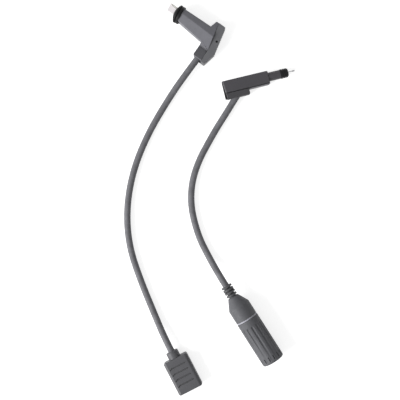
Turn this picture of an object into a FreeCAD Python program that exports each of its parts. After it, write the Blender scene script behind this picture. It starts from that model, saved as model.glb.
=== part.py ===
import FreeCAD, Part
import math
import os
from types import SimpleNamespace

import Sketcher
from FreeCAD import Placement, Rotation, Vector

# Oscilloscope probe set: two leads lying side by side on a bench.
# The angled lead has a T-shaped head with a flat contact tongue, a cable and a
# rectangular socket connector. The straight lead has a pencil head with a sprung
# needle, a cable and a round connector with a fluted coupling sleeve.
# Millimetres, +Z up from the bench, origin under the middle of the set.

# Driving dimensions
SIZES = {
    # Shared by both leads
    "cable_d": 4.25,           # outer diameter of either cable
    "core_d": 1.9,             # screened core inside the cable's jacket
    "wire_d": 0.6,             # bare conductor at the end of the core
    "fit": 0.05,               # radial or side clearance between mating pieces
    "lay_gap": 0.05,           # air between a lying cable and the bench
    "board_gap": 0.25,         # air between a board and what carries it
    "board_thick": 0.8,        # circuit boards
    "blend": 0.3,              # small edge break on metal and moulded pieces

    # Angled head: x runs out along the barrel, y runs towards the cable
    "angled_height": 6.05,     # barrel axis above the bench
    "barrel_length": 18.9,
    "barrel_half_width": 5.6,  # where it leaves the block
    "barrel_tip_half_width": 4.25,
    "barrel_under": 4.9,       # axis to the barrel's underside
    "ridge_offset": 0.9,       # ridge of the roof, on the far side of the axis
    "ridge_height": 4.9,       # ridge above the axis
    "lit_slope": 10.0,         # roof slope in degrees, cable side
    "dark_slope": 18.0,        # roof slope in degrees, far side
    "plateau_end": 7.8,        # where the roof steps down, from the axis
    "plateau_step": 0.9,
    "thumb_rise": 0.9,         # rise of the thumb rest towards the cable end
    "block_far": 10.5,         # block end beyond the far side of the barrel
    "block_near": 15.45,       # block end where the cable leaves
    "block_corner": 0.8,       # corner radius seen from above
    "far_setback": 0.85,       # front face, set back at the far end
    "elbow_setback": 1.1,      # and beside the barrel on the cable side
    "block_setback": 1.7,      # and at the cable end
    "seam_far": 3.0,           # seam of the rear cover behind the front face
    "seam_elbow": 7.6,
    "seam_near": 8.2,
    "cover_over": 0.85,        # how far the cover reaches past the cable end
    "exit_lip": 2.3,           # lip under the cable, up from the block's foot
    "cover_far": 7.9,          # back of the cover behind the front face
    "cover_elbow": 12.5,
    "cover_elbow_at": 7.4,
    "cover_near": 11.0,
    "cover_top": 3.4,          # flat roof of the cover above the axis
    "angled_wall": 1.2,
    "cavity_far": 6.5,         # hollow of the block, from the axis
    "cavity_top": 1.2,         # hollow above the axis
    "angled_exit_x": 5.3,      # cable exit behind the front face
    "angled_exit_drop": 1.05,  # cable exit below the barrel axis
    "clamp_length": 4.6,
    "lug_half_width": 2.2,
    "lug_top": 2.25,           # top of the screw lug below the axis
    "screw_x": 8.9,            # cover screw behind the front face
    "screw_head_d": 1.5,
    "screw_head_depth": 0.6,   # thickness of the screw's head
    "screw_sink": 1.0,         # how deep the head lies in its hole
    "screw_shank_d": 0.9,
    "screw_slot": 0.3,         # width of the cross slot
    "ring_skew": 8.0,          # degrees, barrel's end and ring out of square in plan
    "ring_length": 6.3,        # ribbed rubber ring before the tongue
    "ring_back_d": 11.7,
    "ring_back_rib": 1.5,      # width of the rib at the barrel
    "ring_d": 12.0,
    "ring_rib": 2.3,           # width of the middle rib
    "ring_groove": 0.4,        # width of the grooves in front of either rib
    "ring_groove_depth": 0.7,
    "ring_front_d": 6.2,
    "tongue_width": 5.3,
    "tongue_thick": 1.8,
    "tongue_reach": 4.5,       # tongue in front of the ring
    "carrier_shoulder": 1.0,   # how far the carrier's root stands out all round
    "carrier_root": 5.0,       # length of that root
    "blade_width": 1.1,
    "blade_thick": 0.3,
    "blade_proud": 0.12,
    "angled_seat": 3.1,        # cable's seat in the block
    "chip_length": 2.0,        # the two small parts on the board
    "chip_width": 1.3,
    "chip_height": 0.7,

    # Socket connector: x runs from its back face to its mouth
    "socket_height": 4.4,      # connector axis above the bench
    "socket_length": 23.35,
    "socket_half_width": 8.2,
    "socket_half_thick": 4.4,
    "socket_corner": 1.2,      # corner radius seen from above
    "socket_edge": 0.95,       # rounding of the outer edges
    "socket_back_wall": 1.5,
    "grip_first": 4.95,        # first grip groove from the back face
    "grip_pitch": 3.93,
    "grip_count": 4,
    "grip_half_length": 4.6,
    "grip_half_width": 0.5,
    "grip_depth": 0.5,
    "grip_foot_x": 0.7,        # short foot at one end of each groove
    "grip_foot_y": 1.3,
    "grip_foot_half_width": 0.35,
    "collar_length": 4.55,
    "collar_d": 7.95,
    "collar_round": 0.6,       # rounding of its back edge
    "collar_neck_d": 4.9,
    "collar_flange_d": 5.8,
    "collar_flange": 1.0,      # thickness of the flange inside the housing
    "collar_cable_depth": 3.2, # cable's seat in the collar
    "metal_half_width": 5.95,  # outside of the metal shell
    "metal_half_thick": 3.35,
    "metal_wall": 0.35,
    "metal_start": 7.0,        # back end of the metal shell
    "metal_proud": 0.4,        # metal shell in front of the mouth
    "mouth_depth": 8.6,        # from the shell's front to the tongue's root
    "socket_tongue_thick": 1.6,
    "socket_tongue_half_width": 5.0,
    "socket_tongue_back": 1.2, # tongue's tip behind the shell's front
    "contact_width": 1.0,
    "contact_pitch": 2.4,
    "contact_thick": 0.3,
    "contact_proud": 0.12,
    "contact_bevel": 0.1,
    "contact_tail": 1.6,

    # Straight head: x runs from its back end to the needle
    "head_height": 3.3,        # head axis above the bench
    "head_length": 30.05,
    "head_half_width": 3.87,
    "head_half_thick": 3.3,
    "boss_length": 16.65,
    "boss_edge": 8.1,          # outer side of the boss from the axis
    "boss_half_thick": 2.75,
    "boss_corner": 0.9,        # corner radius seen from above
    "valley_start": 1.2,       # groove between the body and the boss, from the back end
    "valley_width": 0.45,
    "valley_depth": 0.5,
    "cap_thin": 0.2,           # wedge-shaped end cap, at the side away from the boss
    "cap_thick": 1.2,          # and at the boss
    "cap_inset": 0.3,          # how far the cap lies inside the case's outline
    "cap_spigot": 1.6,
    "head_wall": 1.0,
    "head_front_wall": 1.5,
    "head_blend": 0.45,
    "straight_exit_x": 6.9,    # cable exit from the back end
    "straight_exit_y": 7.7,    # cable exit from the axis
    "exit_depth": 3.5,         # cable's seat inside the boss
    "exit_angle": 45.0,        # degrees, cable against the boss
    "core_reach": 2.6,         # cable's core past its seat
    "wire_reach": 3.4,         # bare wire past the core
    "nose_offset": 0.2,        # nose axis beside the head axis
    "nose_length": 8.3,
    "nose_d": 5.7,
    "nose_neck_d": 3.7,
    "nose_flange_d": 4.4,
    "sleeve_length": 4.9,
    "sleeve_d": 6.1,
    "sleeve_pitch": 1.35,      # from one groove to the next
    "sleeve_groove": 0.4,      # width and depth of a groove
    "sleeve_round": 1.2,       # rounding of its front edge
    "barrel_tube_d": 2.6,      # tube that guides the needle
    "barrel_tube_wall": 0.3,
    "barrel_tube_back": 7.1,   # its back end behind the case's front
    "barrel_tube_proud": 9.5,  # its front end beyond the case's front
    "barrel_lip": 0.5,         # rolled lip that holds the piston
    "piston_d": 1.9,
    "piston_length": 2.0,
    "needle_d": 0.6,
    "needle_clear": 0.9,       # thin part in view with the needle pressed in
    "crown_d": 1.0,
    "crown_length": 1.8,
    "needle_travel": 1.5,
    "spring_d": 1.7,
    "spring_wire": 0.28,
    "trimmer_d": 3.2,
    "trimmer_height": 1.5,
    "trimmer_x": 8.0,
    "trimmer_slot": 0.3,       # width and depth of its slot
    "resistor_d": 1.4,
    "resistor_length": 4.4,
    "lead_wire_d": 0.5,

    # Round connector: x runs from the pale ring to the mouth
    "coupling_height": 7.4,    # connector axis above the bench
    "coupling_d": 14.8,
    "coupling_length": 31.8,
    "coupling_gap": 0.15,      # running gap beside the pale ring
    "coupling_bore_d": 11.8,
    "coupling_flange": 6.4,    # thick back part that runs on the shell
    "running_fit": 0.05,
    "mouth_round": 1.4,
    "flute_count": 14,
    "flute_first": 4.4,        # smooth band before the flutes
    "flute_end": 2.6,          # smooth band before the mouth
    "flute_half_width": 0.75,
    "flute_depth": 0.45,
    "notch_length": 2.4,       # short notches between the flutes at the mouth
    "notch_half_width": 0.35,
    "notch_depth": 0.8,
    "shell_d": 9.8,
    "shell_wall": 0.85,
    "shell_front": 27.0,       # front end of the shell from the ring's back face
    "shell_step": 0.4,         # the insulator's seat is this much smaller all round
    "shell_back": 7.0,         # shell behind the ring's back face
    "bore_depth": 10.0,        # open bore in front of the insulator
    "ring_thick": 1.0,
    "pale_ring_d": 14.5,
    "clip_width": 0.8,
    "clip_gap": 1.2,           # opening of the clip
    "clip_groove": 0.4,
    "gasket_width": 1.2,
    "backshell_d": 14.6,
    "backshell_straight": 8.9,
    "backshell_length": 16.0,
    "backshell_back_d": 7.2,
    "boot_length": 8.1,        # strain relief behind the backshell
    "boot_cable_depth": 6.0,
    "boot_waist_d": 5.2,
    "boot_ring_d": 7.1,
    "boot_ring_width": 1.15,
    "boot_round": 0.3,         # rounding of the rings
    "boot_neck": 2.0,          # part of the boot inside the backshell
    "boot_neck_d": 5.0,
    "contact_d": 2.0,
    "contact_bore_d": 1.0,
    "contact_bore_depth": 3.6,
    "tail_length": 3.0,        # contact behind the insulator
    "insulator_length": 8.0,
    "crimp_wall": 0.35,
    "crimp_length": 7.0,
    "crimp_depth": 1.75,       # ferrule's short end in its counterbore
}

# Where each unit lies on the bench: its own origin and the heading of its own x
# axis in degrees. Its height above the bench is a driving dimension.
ANGLED_HEAD_AT = (-15.42, 105.6, 142.8)
SOCKET_AT = (-35.1, -101.31, -62.6)
STRAIGHT_HEAD_AT = (-4.25, 71.52, 13.45)
COUPLING_AT = (10.61, -75.52, -57.5)

# Straight stretches of cable next to the four exits, from the seat outwards
ANGLED_EXIT_RUN = 15.5
SOCKET_ENTRY_RUN = 11.9
STRAIGHT_EXIT_RUN = 14.5
COUPLING_ENTRY_RUN = 12.0

# Points of the two lying cables, seen from above
ANGLED_CABLE_POINTS = [
    (-37.9, 66.6), (-52.3, 42.6), (-62.2, 18.2), (-66.3, -6.5),
    (-64.6, -30.0), (-57.2, -52.0), (-47.2, -76.2),
]
STRAIGHT_CABLE_POINTS = [
    (-9.9, 43.2), (-22.4, 20.0), (-25.6, -1.0), (-20.6, -22.4), (-12.8, -37.9),
]
ARC_SHARE = 0.45               # share of the shorter run that a bend may take
BOOT_RINGS = 4
SOCKET_CONTACTS = 4
FULL_TURN = 360


class Size:
    """A length that remembers the sheet formula it comes from."""

    def __init__(self, value, text):
        self.value = value
        self.text = text

    def __add__(self, other):
        other = as_size(other)
        return Size(self.value + other.value, f"({self.text} + {other.text})")

    def __sub__(self, other):
        other = as_size(other)
        return Size(self.value - other.value, f"({self.text} - {other.text})")

    def __mul__(self, other):
        other = as_size(other)
        return Size(self.value * other.value, f"({self.text} * {other.text})")

    def __truediv__(self, other):
        other = as_size(other)
        return Size(self.value / other.value, f"({self.text} / {other.text})")

    def __neg__(self):
        return Size(-self.value, f"(0 - {self.text})")

    def __radd__(self, other):
        return as_size(other) + self

    def __rsub__(self, other):
        return as_size(other) - self

    def __rmul__(self, other):
        return as_size(other) * self


def as_size(number):
    if isinstance(number, Size):
        return number
    return Size(float(number), f"({number})")


def slope(angle):
    """Rise per unit of run of a slope in degrees."""
    return Size(math.tan(math.radians(angle.value)), f"tan({angle.text} * 1 deg)")


def write_sheet(doc):
    """The driving dimensions as a sheet, and each as a Size."""
    sheet = doc.addObject("Spreadsheet::Sheet", "sizes")
    named = SimpleNamespace()
    for row, (name, value) in enumerate(SIZES.items(), start=1):
        sheet.set(f"A{row}", name)
        sheet.set(f"B{row}", str(value))
        sheet.setAlias(f"B{row}", name)
        setattr(named, name, Size(float(value), f"sizes.{name}"))
    doc.recompute()
    return named


def frame(place, height):
    """A unit's own frame on the bench."""
    x, y, heading = place
    return Placement(Vector(x, y, height.value), Rotation(Vector(0, 0, 1), heading))


def moved(unit_frame, x=0, y=0, z=0):
    """A frame shifted along its own axes."""
    step = Vector(as_size(x).value, as_size(y).value, as_size(z).value)
    return unit_frame.multiply(Placement(step, Rotation()))


def new_body(doc, name, place):
    body = doc.addObject("PartDesign::Body", name)
    body.Label = name
    body.Placement = place
    return body


def bind(item, prop, size):
    """Ties a property to its formula in the sheet."""
    item.setExpression(prop, as_size(size).text)


def origin_feature(body, role):
    return next(item for item in body.Origin.OriginFeatures if item.Role == role)


def new_sketch(body, role, offset=0):
    """A sketch on one of the body's own planes, shifted along its normal."""
    sketch = body.newObject("Sketcher::SketchObject", f"{body.Label}_sketch")
    sketch.AttachmentSupport = [(origin_feature(body, role), "")]
    sketch.MapMode = "FlatFace"
    bind(sketch, "AttachmentOffset.Base.z", offset)
    return sketch


def fix_point(sketch, geometry, point, x, y):
    """Holds a point of the sketch at x, y from the sketch's origin."""
    for kind, size in (("DistanceX", as_size(x)), ("DistanceY", as_size(y))):
        rule = Sketcher.Constraint(kind, -1, 1, geometry, point, size.value)
        index = sketch.addConstraint(rule)
        sketch.setExpression(f"Constraints[{index}]", size.text)


def fix_radius(sketch, geometry, radius):
    index = sketch.addConstraint(Sketcher.Constraint("Radius", geometry, radius.value))
    sketch.setExpression(f"Constraints[{index}]", radius.text)


def arc_between(start, end, radius):
    """Arc of under half a turn; a negative radius bends the other way."""
    across = end - start
    middle = (start + end) / 2
    depth = math.sqrt(max(radius ** 2 - (across.Length / 2) ** 2, 0))
    left = Vector(-across.y, across.x, 0).normalize()
    side = 1 if radius > 0 else -1
    centre = middle + left * depth * side
    first, last = (start, end) if radius > 0 else (end, start)
    angles = [math.atan2(p.y - centre.y, p.x - centre.x) for p in (first, last)]
    circle = Part.Circle(centre, Vector(0, 0, 1), abs(radius))
    return Part.ArcOfCircle(circle, angles[0], angles[1])


def draw_outline(sketch, points):
    """Closed outline through (x, y) points; (x, y, radius) arrives there by an arc."""
    edges = []
    for start, end in zip(points[-1:] + points[:-1], points):
        first = Vector(as_size(start[0]).value, as_size(start[1]).value, 0)
        last = Vector(as_size(end[0]).value, as_size(end[1]).value, 0)
        if len(end) == 2:
            geometry = sketch.addGeometry(Part.LineSegment(first, last), False)
            edges.append((geometry, 1, 2))
            continue
        radius = as_size(end[2])
        geometry = sketch.addGeometry(arc_between(first, last, radius.value), False)
        edges.append((geometry, 1, 2) if radius.value > 0 else (geometry, 2, 1))
        fix_radius(sketch, geometry, radius if radius.value > 0 else -radius)
    for (before, _, tail), (after, head, _) in zip(edges[-1:] + edges[:-1], edges):
        sketch.addConstraint(Sketcher.Constraint("Coincident", before, tail, after, head))
    for (geometry, _, tail), point in zip(edges, points):
        fix_point(sketch, geometry, tail, point[0], point[1])
    return sketch


def draw_circle(sketch, x, y, radius):
    centre = Vector(as_size(x).value, as_size(y).value, 0)
    circle = Part.Circle(centre, Vector(0, 0, 1), as_size(radius).value)
    geometry = sketch.addGeometry(circle, False)
    fix_point(sketch, geometry, 3, x, y)
    fix_radius(sketch, geometry, as_size(radius))
    return sketch


def rectangle(x0, y0, x1, y1):
    return [(x1, y0), (x1, y1), (x0, y1), (x0, y0)]


def rounded_rectangle(x0, y0, x1, y1, r):
    return [
        (x1 - r, y0), (x1, y0 + r, r), (x1, y1 - r), (x1 - r, y1, r),
        (x0 + r, y1), (x0, y1 - r, r), (x0, y0 + r), (x0 + r, y0, r),
    ]


def draw_slot(sketch, x0, y0, x1, y1, radius):
    """Round-ended slot between two centres."""
    ends = [Vector(as_size(x).value, as_size(y).value, 0) for x, y in ((x0, y0), (x1, y1))]
    along = (ends[1] - ends[0]).normalize()
    side = Vector(-along.y, along.x, 0) * radius.value
    heading = math.atan2(along.y, along.x)
    quarter = math.pi / 2
    up = Vector(0, 0, 1)
    circles = [Part.Circle(end, up, radius.value) for end in ends]
    shapes = [
        Part.LineSegment(ends[0] - side, ends[1] - side),
        Part.ArcOfCircle(circles[1], heading - quarter, heading + quarter),
        Part.LineSegment(ends[1] + side, ends[0] + side),
        Part.ArcOfCircle(circles[0], heading + quarter, heading + 3 * quarter),
    ]
    for shape in shapes:
        sketch.addGeometry(shape, False)
    for index in range(4):
        after = (index + 1) % 4
        sketch.addConstraint(Sketcher.Constraint("Tangent", index, 2, after, 1))
    fix_point(sketch, 1, 3, x1, y1)
    fix_point(sketch, 3, 3, x0, y0)
    fix_radius(sketch, 1, radius)
    sketch.addConstraint(Sketcher.Constraint("Equal", 1, 3))
    return sketch


def pad(body, sketch, length, up=True):
    feature = body.newObject("PartDesign::Pad", f"{body.Label}_pad")
    feature.Profile = sketch
    feature.Reversed = not up
    bind(feature, "Length", length)
    return feature


def pocket(body, sketch, depth, up=True):
    """Cuts from the sketch along its normal, or against it."""
    feature = body.newObject("PartDesign::Pocket", f"{body.Label}_pocket")
    feature.Profile = sketch
    feature.Reversed = up
    bind(feature, "Length", depth)
    return feature


def revolve(body, sketch, kind="Revolution"):
    """Full turn about the sketch's own x axis."""
    feature = body.newObject(f"PartDesign::{kind}", f"{body.Label}_turned")
    feature.Profile = sketch
    feature.ReferenceAxis = (sketch, ["H_Axis"])
    feature.Angle = FULL_TURN
    return feature


def turn_sketch(sketch, axis, angle):
    """Turns a sketch about one of its own axes by an angle in degrees."""
    base = sketch.AttachmentOffset.Base
    sketch.AttachmentOffset = Placement(base, Rotation(axis, angle.value))
    sketch.setExpression("AttachmentOffset.Rotation.Angle", f"{angle.text} * 1 deg")


def turned_body(doc, name, place, points, start_angle=0):
    """A turned piece: (x, radius) points, revolved about x."""
    body = new_body(doc, name, place)
    sketch = new_sketch(body, "XY_Plane")
    if start_angle:
        turn_sketch(sketch, Vector(1, 0, 0), start_angle)
    revolve(body, draw_outline(sketch, points))
    return body


def tube_points(x0, x1, inner, outer):
    return rectangle(x0, inner, x1, outer)


def block_body(doc, name, place, low, high):
    """A straight block between two corners."""
    body = new_body(doc, name, place)
    sketch = new_sketch(body, "XY_Plane", low[2])
    draw_outline(sketch, rectangle(low[0], low[1], high[0], high[1]))
    pad(body, sketch, high[2] - low[2])
    return body


def polar(body, feature, count):
    """Repeats a cut around the body's x axis."""
    pattern = body.newObject("PartDesign::PolarPattern", f"{body.Label}_round")
    pattern.Originals = [feature]
    pattern.Axis = (origin_feature(body, "X_Axis"), [""])
    pattern.Angle = FULL_TURN
    bind(pattern, "Occurrences", count)
    body.Tip = pattern
    return pattern


def linear(body, feature, length, count):
    """Repeats a cut along the body's x axis."""
    pattern = body.newObject("PartDesign::LinearPattern", f"{body.Label}_row")
    pattern.Originals = [feature]
    pattern.Direction = (origin_feature(body, "X_Axis"), [""])
    bind(pattern, "Length", length)
    bind(pattern, "Occurrences", count)
    body.Tip = pattern
    return pattern


def dress(body, kind, size, wanted):
    """Rounds or bevels the edges that the test picks, in the body's own axes."""
    body.Document.recompute()
    base = body.Tip
    names = []
    for index, edge in enumerate(base.Shape.Edges, start=1):
        if wanted(edge):
            names.append(f"Edge{index}")
    feature = body.newObject(f"PartDesign::{kind}", f"{body.Label}_{kind.lower()}")
    feature.Base = (base, names)
    bind(feature, "Radius" if kind == "Fillet" else "Size", size)
    return feature


def near(a, b):
    return abs(a - as_size(b).value) < 1e-4


def edge_at_x(x):
    """Picks edges that lie wholly at one x."""
    return lambda edge: near(edge.BoundBox.XMin, x) and near(edge.BoundBox.XMax, x)


def edge_at_z(z):
    return lambda edge: near(edge.BoundBox.ZMin, z) and near(edge.BoundBox.ZMax, z)


def edge_beside(y):
    """Picks edges that reach past y on its minus side."""
    return lambda edge: edge.BoundBox.YMin < as_size(y).value


def picked_edges(*tests):
    """Picks edges that pass every test."""
    return lambda edge: all(test(edge) for test in tests)


def between(y, y0, x0, y1, x1):
    """Straight line through two (y, x) points, taken at y."""
    return x0 + (x1 - x0) * (y - y0) / (y1 - y0)


# Round connector

def coupling_start(s):
    return s.ring_thick + s.coupling_gap


def clip_start(s):
    return coupling_start(s) + s.coupling_flange + s.coupling_gap


def insulator_end(s):
    return s.shell_front - s.bore_depth


def insulator_start(s):
    return insulator_end(s) - s.insulator_length


def crimp_start(s):
    return -s.shell_back - s.crimp_depth


def boot_start(s):
    return -s.backshell_length - s.boot_length


def cable_end_in_boot(s):
    return boot_start(s) + s.boot_cable_depth


def coupling_sleeve(doc, s, place):
    """Fluted sleeve that spins on the shell between the pale ring and the clip."""
    start = coupling_start(s)
    step = start + s.coupling_flange
    end = start + s.coupling_length
    outer = s.coupling_d / 2
    seat = s.shell_d / 2 + s.running_fit
    bore = s.coupling_bore_d / 2
    body = turned_body(doc, "coupling_sleeve", place, [
        (step, seat), (step, bore), (end, bore), (end, outer - s.mouth_round),
        (end - s.mouth_round, outer, s.mouth_round), (start + s.blend, outer),
        (start, outer - s.blend, s.blend), (start, seat),
    ], as_size(FULL_TURN) / s.flute_count / 4)
    sketch = new_sketch(body, "XY_Plane", outer - s.flute_depth)
    first = start + s.flute_first + s.flute_half_width
    last = end - s.flute_end - s.flute_half_width
    draw_slot(sketch, first, 0, last, 0, s.flute_half_width)
    flute = pocket(body, sketch, s.flute_depth + s.blend)
    polar(body, flute, s.flute_count)
    sketch = new_sketch(body, "XZ_Plane", outer - s.notch_depth)
    tip = end - s.mouth_round - s.notch_half_width - s.blend
    draw_slot(sketch, tip - s.notch_length, 0, tip, 0, s.notch_half_width)
    notch = pocket(body, sketch, s.notch_depth + s.blend)
    polar(body, notch, s.flute_count)


def connector_shell(doc, s, place):
    """Metal shell with the open bore, the insulator's seat and the clip's groove."""
    front = s.shell_front
    back = -s.shell_back
    outer = s.shell_d / 2
    bore = outer - s.shell_wall
    seat = bore - s.shell_step
    throat = s.core_d / 2 + s.fit + s.crimp_wall + s.fit
    clip = clip_start(s)
    groove = outer - s.clip_groove
    turned_body(doc, "connector_shell", place, [
        (insulator_start(s), throat), (insulator_start(s), seat), (insulator_end(s), seat),
        (insulator_end(s), bore), (front, bore),
        (front, outer - s.blend), (front - s.blend, outer, s.blend),
        (clip + s.clip_width, outer), (clip + s.clip_width, groove), (clip, groove),
        (clip, outer), (back, outer), (back, throat),
    ])


def retaining_clip(doc, s, place):
    """Open ring in the shell's groove, in front of the sleeve's flange."""
    inner = s.shell_d / 2 - s.clip_groove
    outer = s.coupling_bore_d / 2 - s.blend
    start = clip_start(s) + s.fit
    end = clip_start(s) + s.clip_width - s.fit
    body = turned_body(doc, "retaining_clip", place, tube_points(start, end, inner, outer))
    sketch = new_sketch(body, "XY_Plane", -s.clip_gap / 2)
    draw_outline(sketch, rectangle(start - s.fit, inner / 2, end + s.fit, outer + s.blend))
    pocket(body, sketch, s.clip_gap)


def coupling_gasket(doc, s, place):
    start = clip_start(s) + s.clip_width + s.coupling_gap
    inner = s.shell_d / 2 + s.fit
    outer = s.coupling_bore_d / 2 - s.blend
    points = tube_points(start, start + s.gasket_width, inner, outer)
    turned_body(doc, "coupling_gasket", place, points)


def connector_insulator(doc, s, place):
    inner = s.contact_d / 2 + s.fit
    outer = s.shell_d / 2 - s.shell_wall - s.shell_step - s.fit
    points = tube_points(insulator_start(s), insulator_end(s), inner, outer)
    turned_body(doc, "connector_insulator", place, points)


def contact_tail(s):
    return insulator_start(s) - s.tail_length


def centre_contact(doc, s, place):
    """Hollow contact with a cup for the wire at its back end."""
    outer = s.contact_d / 2
    cup = s.wire_d / 2 + s.fit
    back = contact_tail(s)
    front = insulator_end(s)
    depth = s.tail_length / 2
    bore = s.contact_bore_d / 2
    floor = front - s.contact_bore_depth
    turned_body(doc, "centre_contact", place, [
        (back + depth, cup), (back + depth, 0), (floor, 0),
        (floor, bore), (front, bore), (front, outer - s.blend),
        (front - s.blend, outer, s.blend), (back, outer), (back, cup),
    ])


def backshell(doc, s, place):
    """Cone and cylinder between the strain relief and the pale ring."""
    back = -s.backshell_length
    neck = back + s.boot_neck
    middle = s.core_d / 2 + s.fit + s.crimp_wall + s.fit
    seat = s.shell_d / 2 + s.fit
    outer = s.backshell_d / 2
    turned_body(doc, "connector_backshell", place, [
        (neck, s.boot_neck_d / 2 + s.fit), (neck, middle), (-s.shell_back, middle),
        (-s.shell_back, seat), (0, seat), (0, outer - s.blend), (-s.blend, outer, s.blend),
        (-s.backshell_straight, outer), (back, s.backshell_back_d / 2),
        (back, s.boot_neck_d / 2 + s.fit),
    ])


def connector_ring(doc, s, place):
    """Thin pale ring between the backshell and the spinning sleeve."""
    points = tube_points(0, s.ring_thick, s.shell_d / 2 + s.fit, s.pale_ring_d / 2)
    turned_body(doc, "connector_ring", place, points)


def strain_relief(doc, s, place):
    """Rubber boot with a row of rings, plugged into the backshell."""
    start = boot_start(s)
    seat = cable_end_in_boot(s)
    back = -s.backshell_length
    front = back + s.boot_neck
    core = s.core_d / 2 + s.fit
    waist = s.boot_waist_d / 2
    crest = s.boot_ring_d / 2
    pitch = s.boot_length / BOOT_RINGS
    corner = s.boot_round
    points = [
        (seat, s.cable_d / 2 + s.fit), (seat, core), (front, core),
        (front, s.boot_neck_d / 2), (back, s.boot_neck_d / 2), (back, waist),
    ]
    for index in reversed(range(BOOT_RINGS)):
        low = start + pitch * index
        high = low + s.boot_ring_width
        points += [
            (high, waist), (high, crest - corner), (high - corner, crest, corner),
            (low + corner, crest), (low, crest - corner, corner), (low, waist),
        ]
    points.pop()
    points.append((start, s.cable_d / 2 + s.fit))
    turned_body(doc, "strain_relief", place, points)


def connector_ferrule(doc, s, place):
    inner = s.core_d / 2 + s.fit
    start = crimp_start(s)
    points = tube_points(start, start + s.crimp_length, inner, inner + s.crimp_wall)
    turned_body(doc, "connector_ferrule", place, points)


def core_and_wire(doc, s, name, place, core_start, core_end, wire_end):
    """Screened core of the cable, with its bare wire in front."""
    wire = s.wire_d / 2
    turned_body(doc, name, place, [
        (wire_end, 0), (wire_end, wire), (core_end, wire), (core_end, s.core_d / 2),
        (core_start, s.core_d / 2), (core_start, 0),
    ])


def round_connector(doc, s, place):
    strain_relief(doc, s, place)
    backshell(doc, s, place)
    connector_ring(doc, s, place)
    coupling_sleeve(doc, s, place)
    connector_shell(doc, s, place)
    retaining_clip(doc, s, place)
    coupling_gasket(doc, s, place)
    connector_insulator(doc, s, place)
    centre_contact(doc, s, place)
    connector_ferrule(doc, s, place)
    core_end = crimp_start(s) + s.crimp_length
    wire_end = contact_tail(s) + s.tail_length / 2
    core_and_wire(doc, s, "connector_core", place, cable_end_in_boot(s), core_end, wire_end)


# Straight head

def nose_start(s):
    return s.head_length


def sleeve_start(s):
    return nose_start(s) + s.nose_length


def sleeve_end(s):
    return sleeve_start(s) + s.sleeve_length


def tube_front(s):
    return s.head_length + s.barrel_tube_proud


def piston_front(s):
    return tube_front(s) - s.barrel_lip - s.fit


def cap_line(s, y):
    """Where the wedge-shaped end cap meets the case."""
    return between(y, s.head_half_width, s.cap_thin, -s.boss_edge, s.cap_thick)


def exit_frame(s, place):
    """Frame on the cable's axis in the boss, x pointing into the head."""
    turn = Placement(Vector(), Rotation(Vector(0, 0, 1), s.exit_angle.value))
    return moved(place, s.straight_exit_x, -s.straight_exit_y).multiply(turn)


def head_case(doc, s, place, name, up):
    """One half of the case: the long body, the boss and its ledge, the hollow."""
    side = 1 if up else -1
    end = s.head_length
    half = s.head_half_width
    inside = half - s.head_wall
    corner = s.head_wall
    body = new_body(doc, name, place)
    sketch = new_sketch(body, "XY_Plane")
    draw_outline(sketch, [
        (end, -half), (end, half - corner), (end - corner, half, corner),
        (cap_line(s, half), half), (cap_line(s, -half), -half),
    ])
    pad(body, sketch, s.head_half_thick, up)
    sketch = new_sketch(body, "XY_Plane")
    boss = s.boss_edge
    round_end = s.boss_corner
    ledge = half + corner
    draw_outline(sketch, [
        (s.boss_length - round_end, -boss), (s.boss_length, -boss + round_end, round_end),
        (s.boss_length, -ledge), (end - corner, -ledge), (end, -half, corner),
        (end, -inside), (cap_line(s, -inside), -inside), (cap_line(s, -boss), -boss),
    ])
    pad(body, sketch, s.boss_half_thick, up)
    dress(body, "Fillet", s.head_blend, edge_at_z(s.head_half_thick * side))
    outside = edge_beside(-half - s.blend)
    dress(body, "Fillet", s.head_blend,
          picked_edges(edge_at_z(s.boss_half_thick * side), outside))
    sketch = new_sketch(body, "XY_Plane", (s.boss_half_thick - s.valley_depth) * side)
    draw_outline(sketch, rectangle(s.valley_start, -half - s.valley_width,
                                   end + s.blend, -half))
    pocket(body, sketch, s.head_half_thick, up)
    sketch = new_sketch(body, "XY_Plane")
    draw_outline(sketch, rectangle(0, -inside, end - s.head_front_wall, inside))
    pocket(body, sketch, s.head_half_thick - s.head_wall, up)
    sketch = new_sketch(body, "XY_Plane")
    bind(sketch, "AttachmentOffset.Base.y", s.nose_offset)
    draw_outline(sketch, rectangle(end - s.head_front_wall - s.blend, 0, end + s.blend,
                                   s.nose_neck_d / 2 + s.fit))
    revolve(body, sketch, "Groove")
    cable_bore(body, s)


def cable_bore(body, s):
    """Slanting stepped bore for the cable, its ferrule and its core."""
    sketch = new_sketch(body, "XY_Plane")
    turn_sketch(sketch, Vector(0, 0, 1), s.exit_angle)
    bind(sketch, "AttachmentOffset.Base.x", s.straight_exit_x)
    bind(sketch, "AttachmentOffset.Base.y", -s.straight_exit_y)
    cable = s.cable_d / 2 + s.fit
    core = s.core_d / 2 + s.fit
    crimp = core + s.crimp_wall + s.fit
    outside = -s.cable_d
    inside = s.exit_depth + s.cable_d
    ferrule_end = s.exit_depth + s.crimp_depth
    draw_outline(sketch, [
        (inside, 0), (inside, core), (ferrule_end, core), (ferrule_end, crimp),
        (s.exit_depth, crimp), (s.exit_depth, cable), (outside, cable), (outside, 0),
    ])
    revolve(body, sketch, "Groove")


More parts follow.
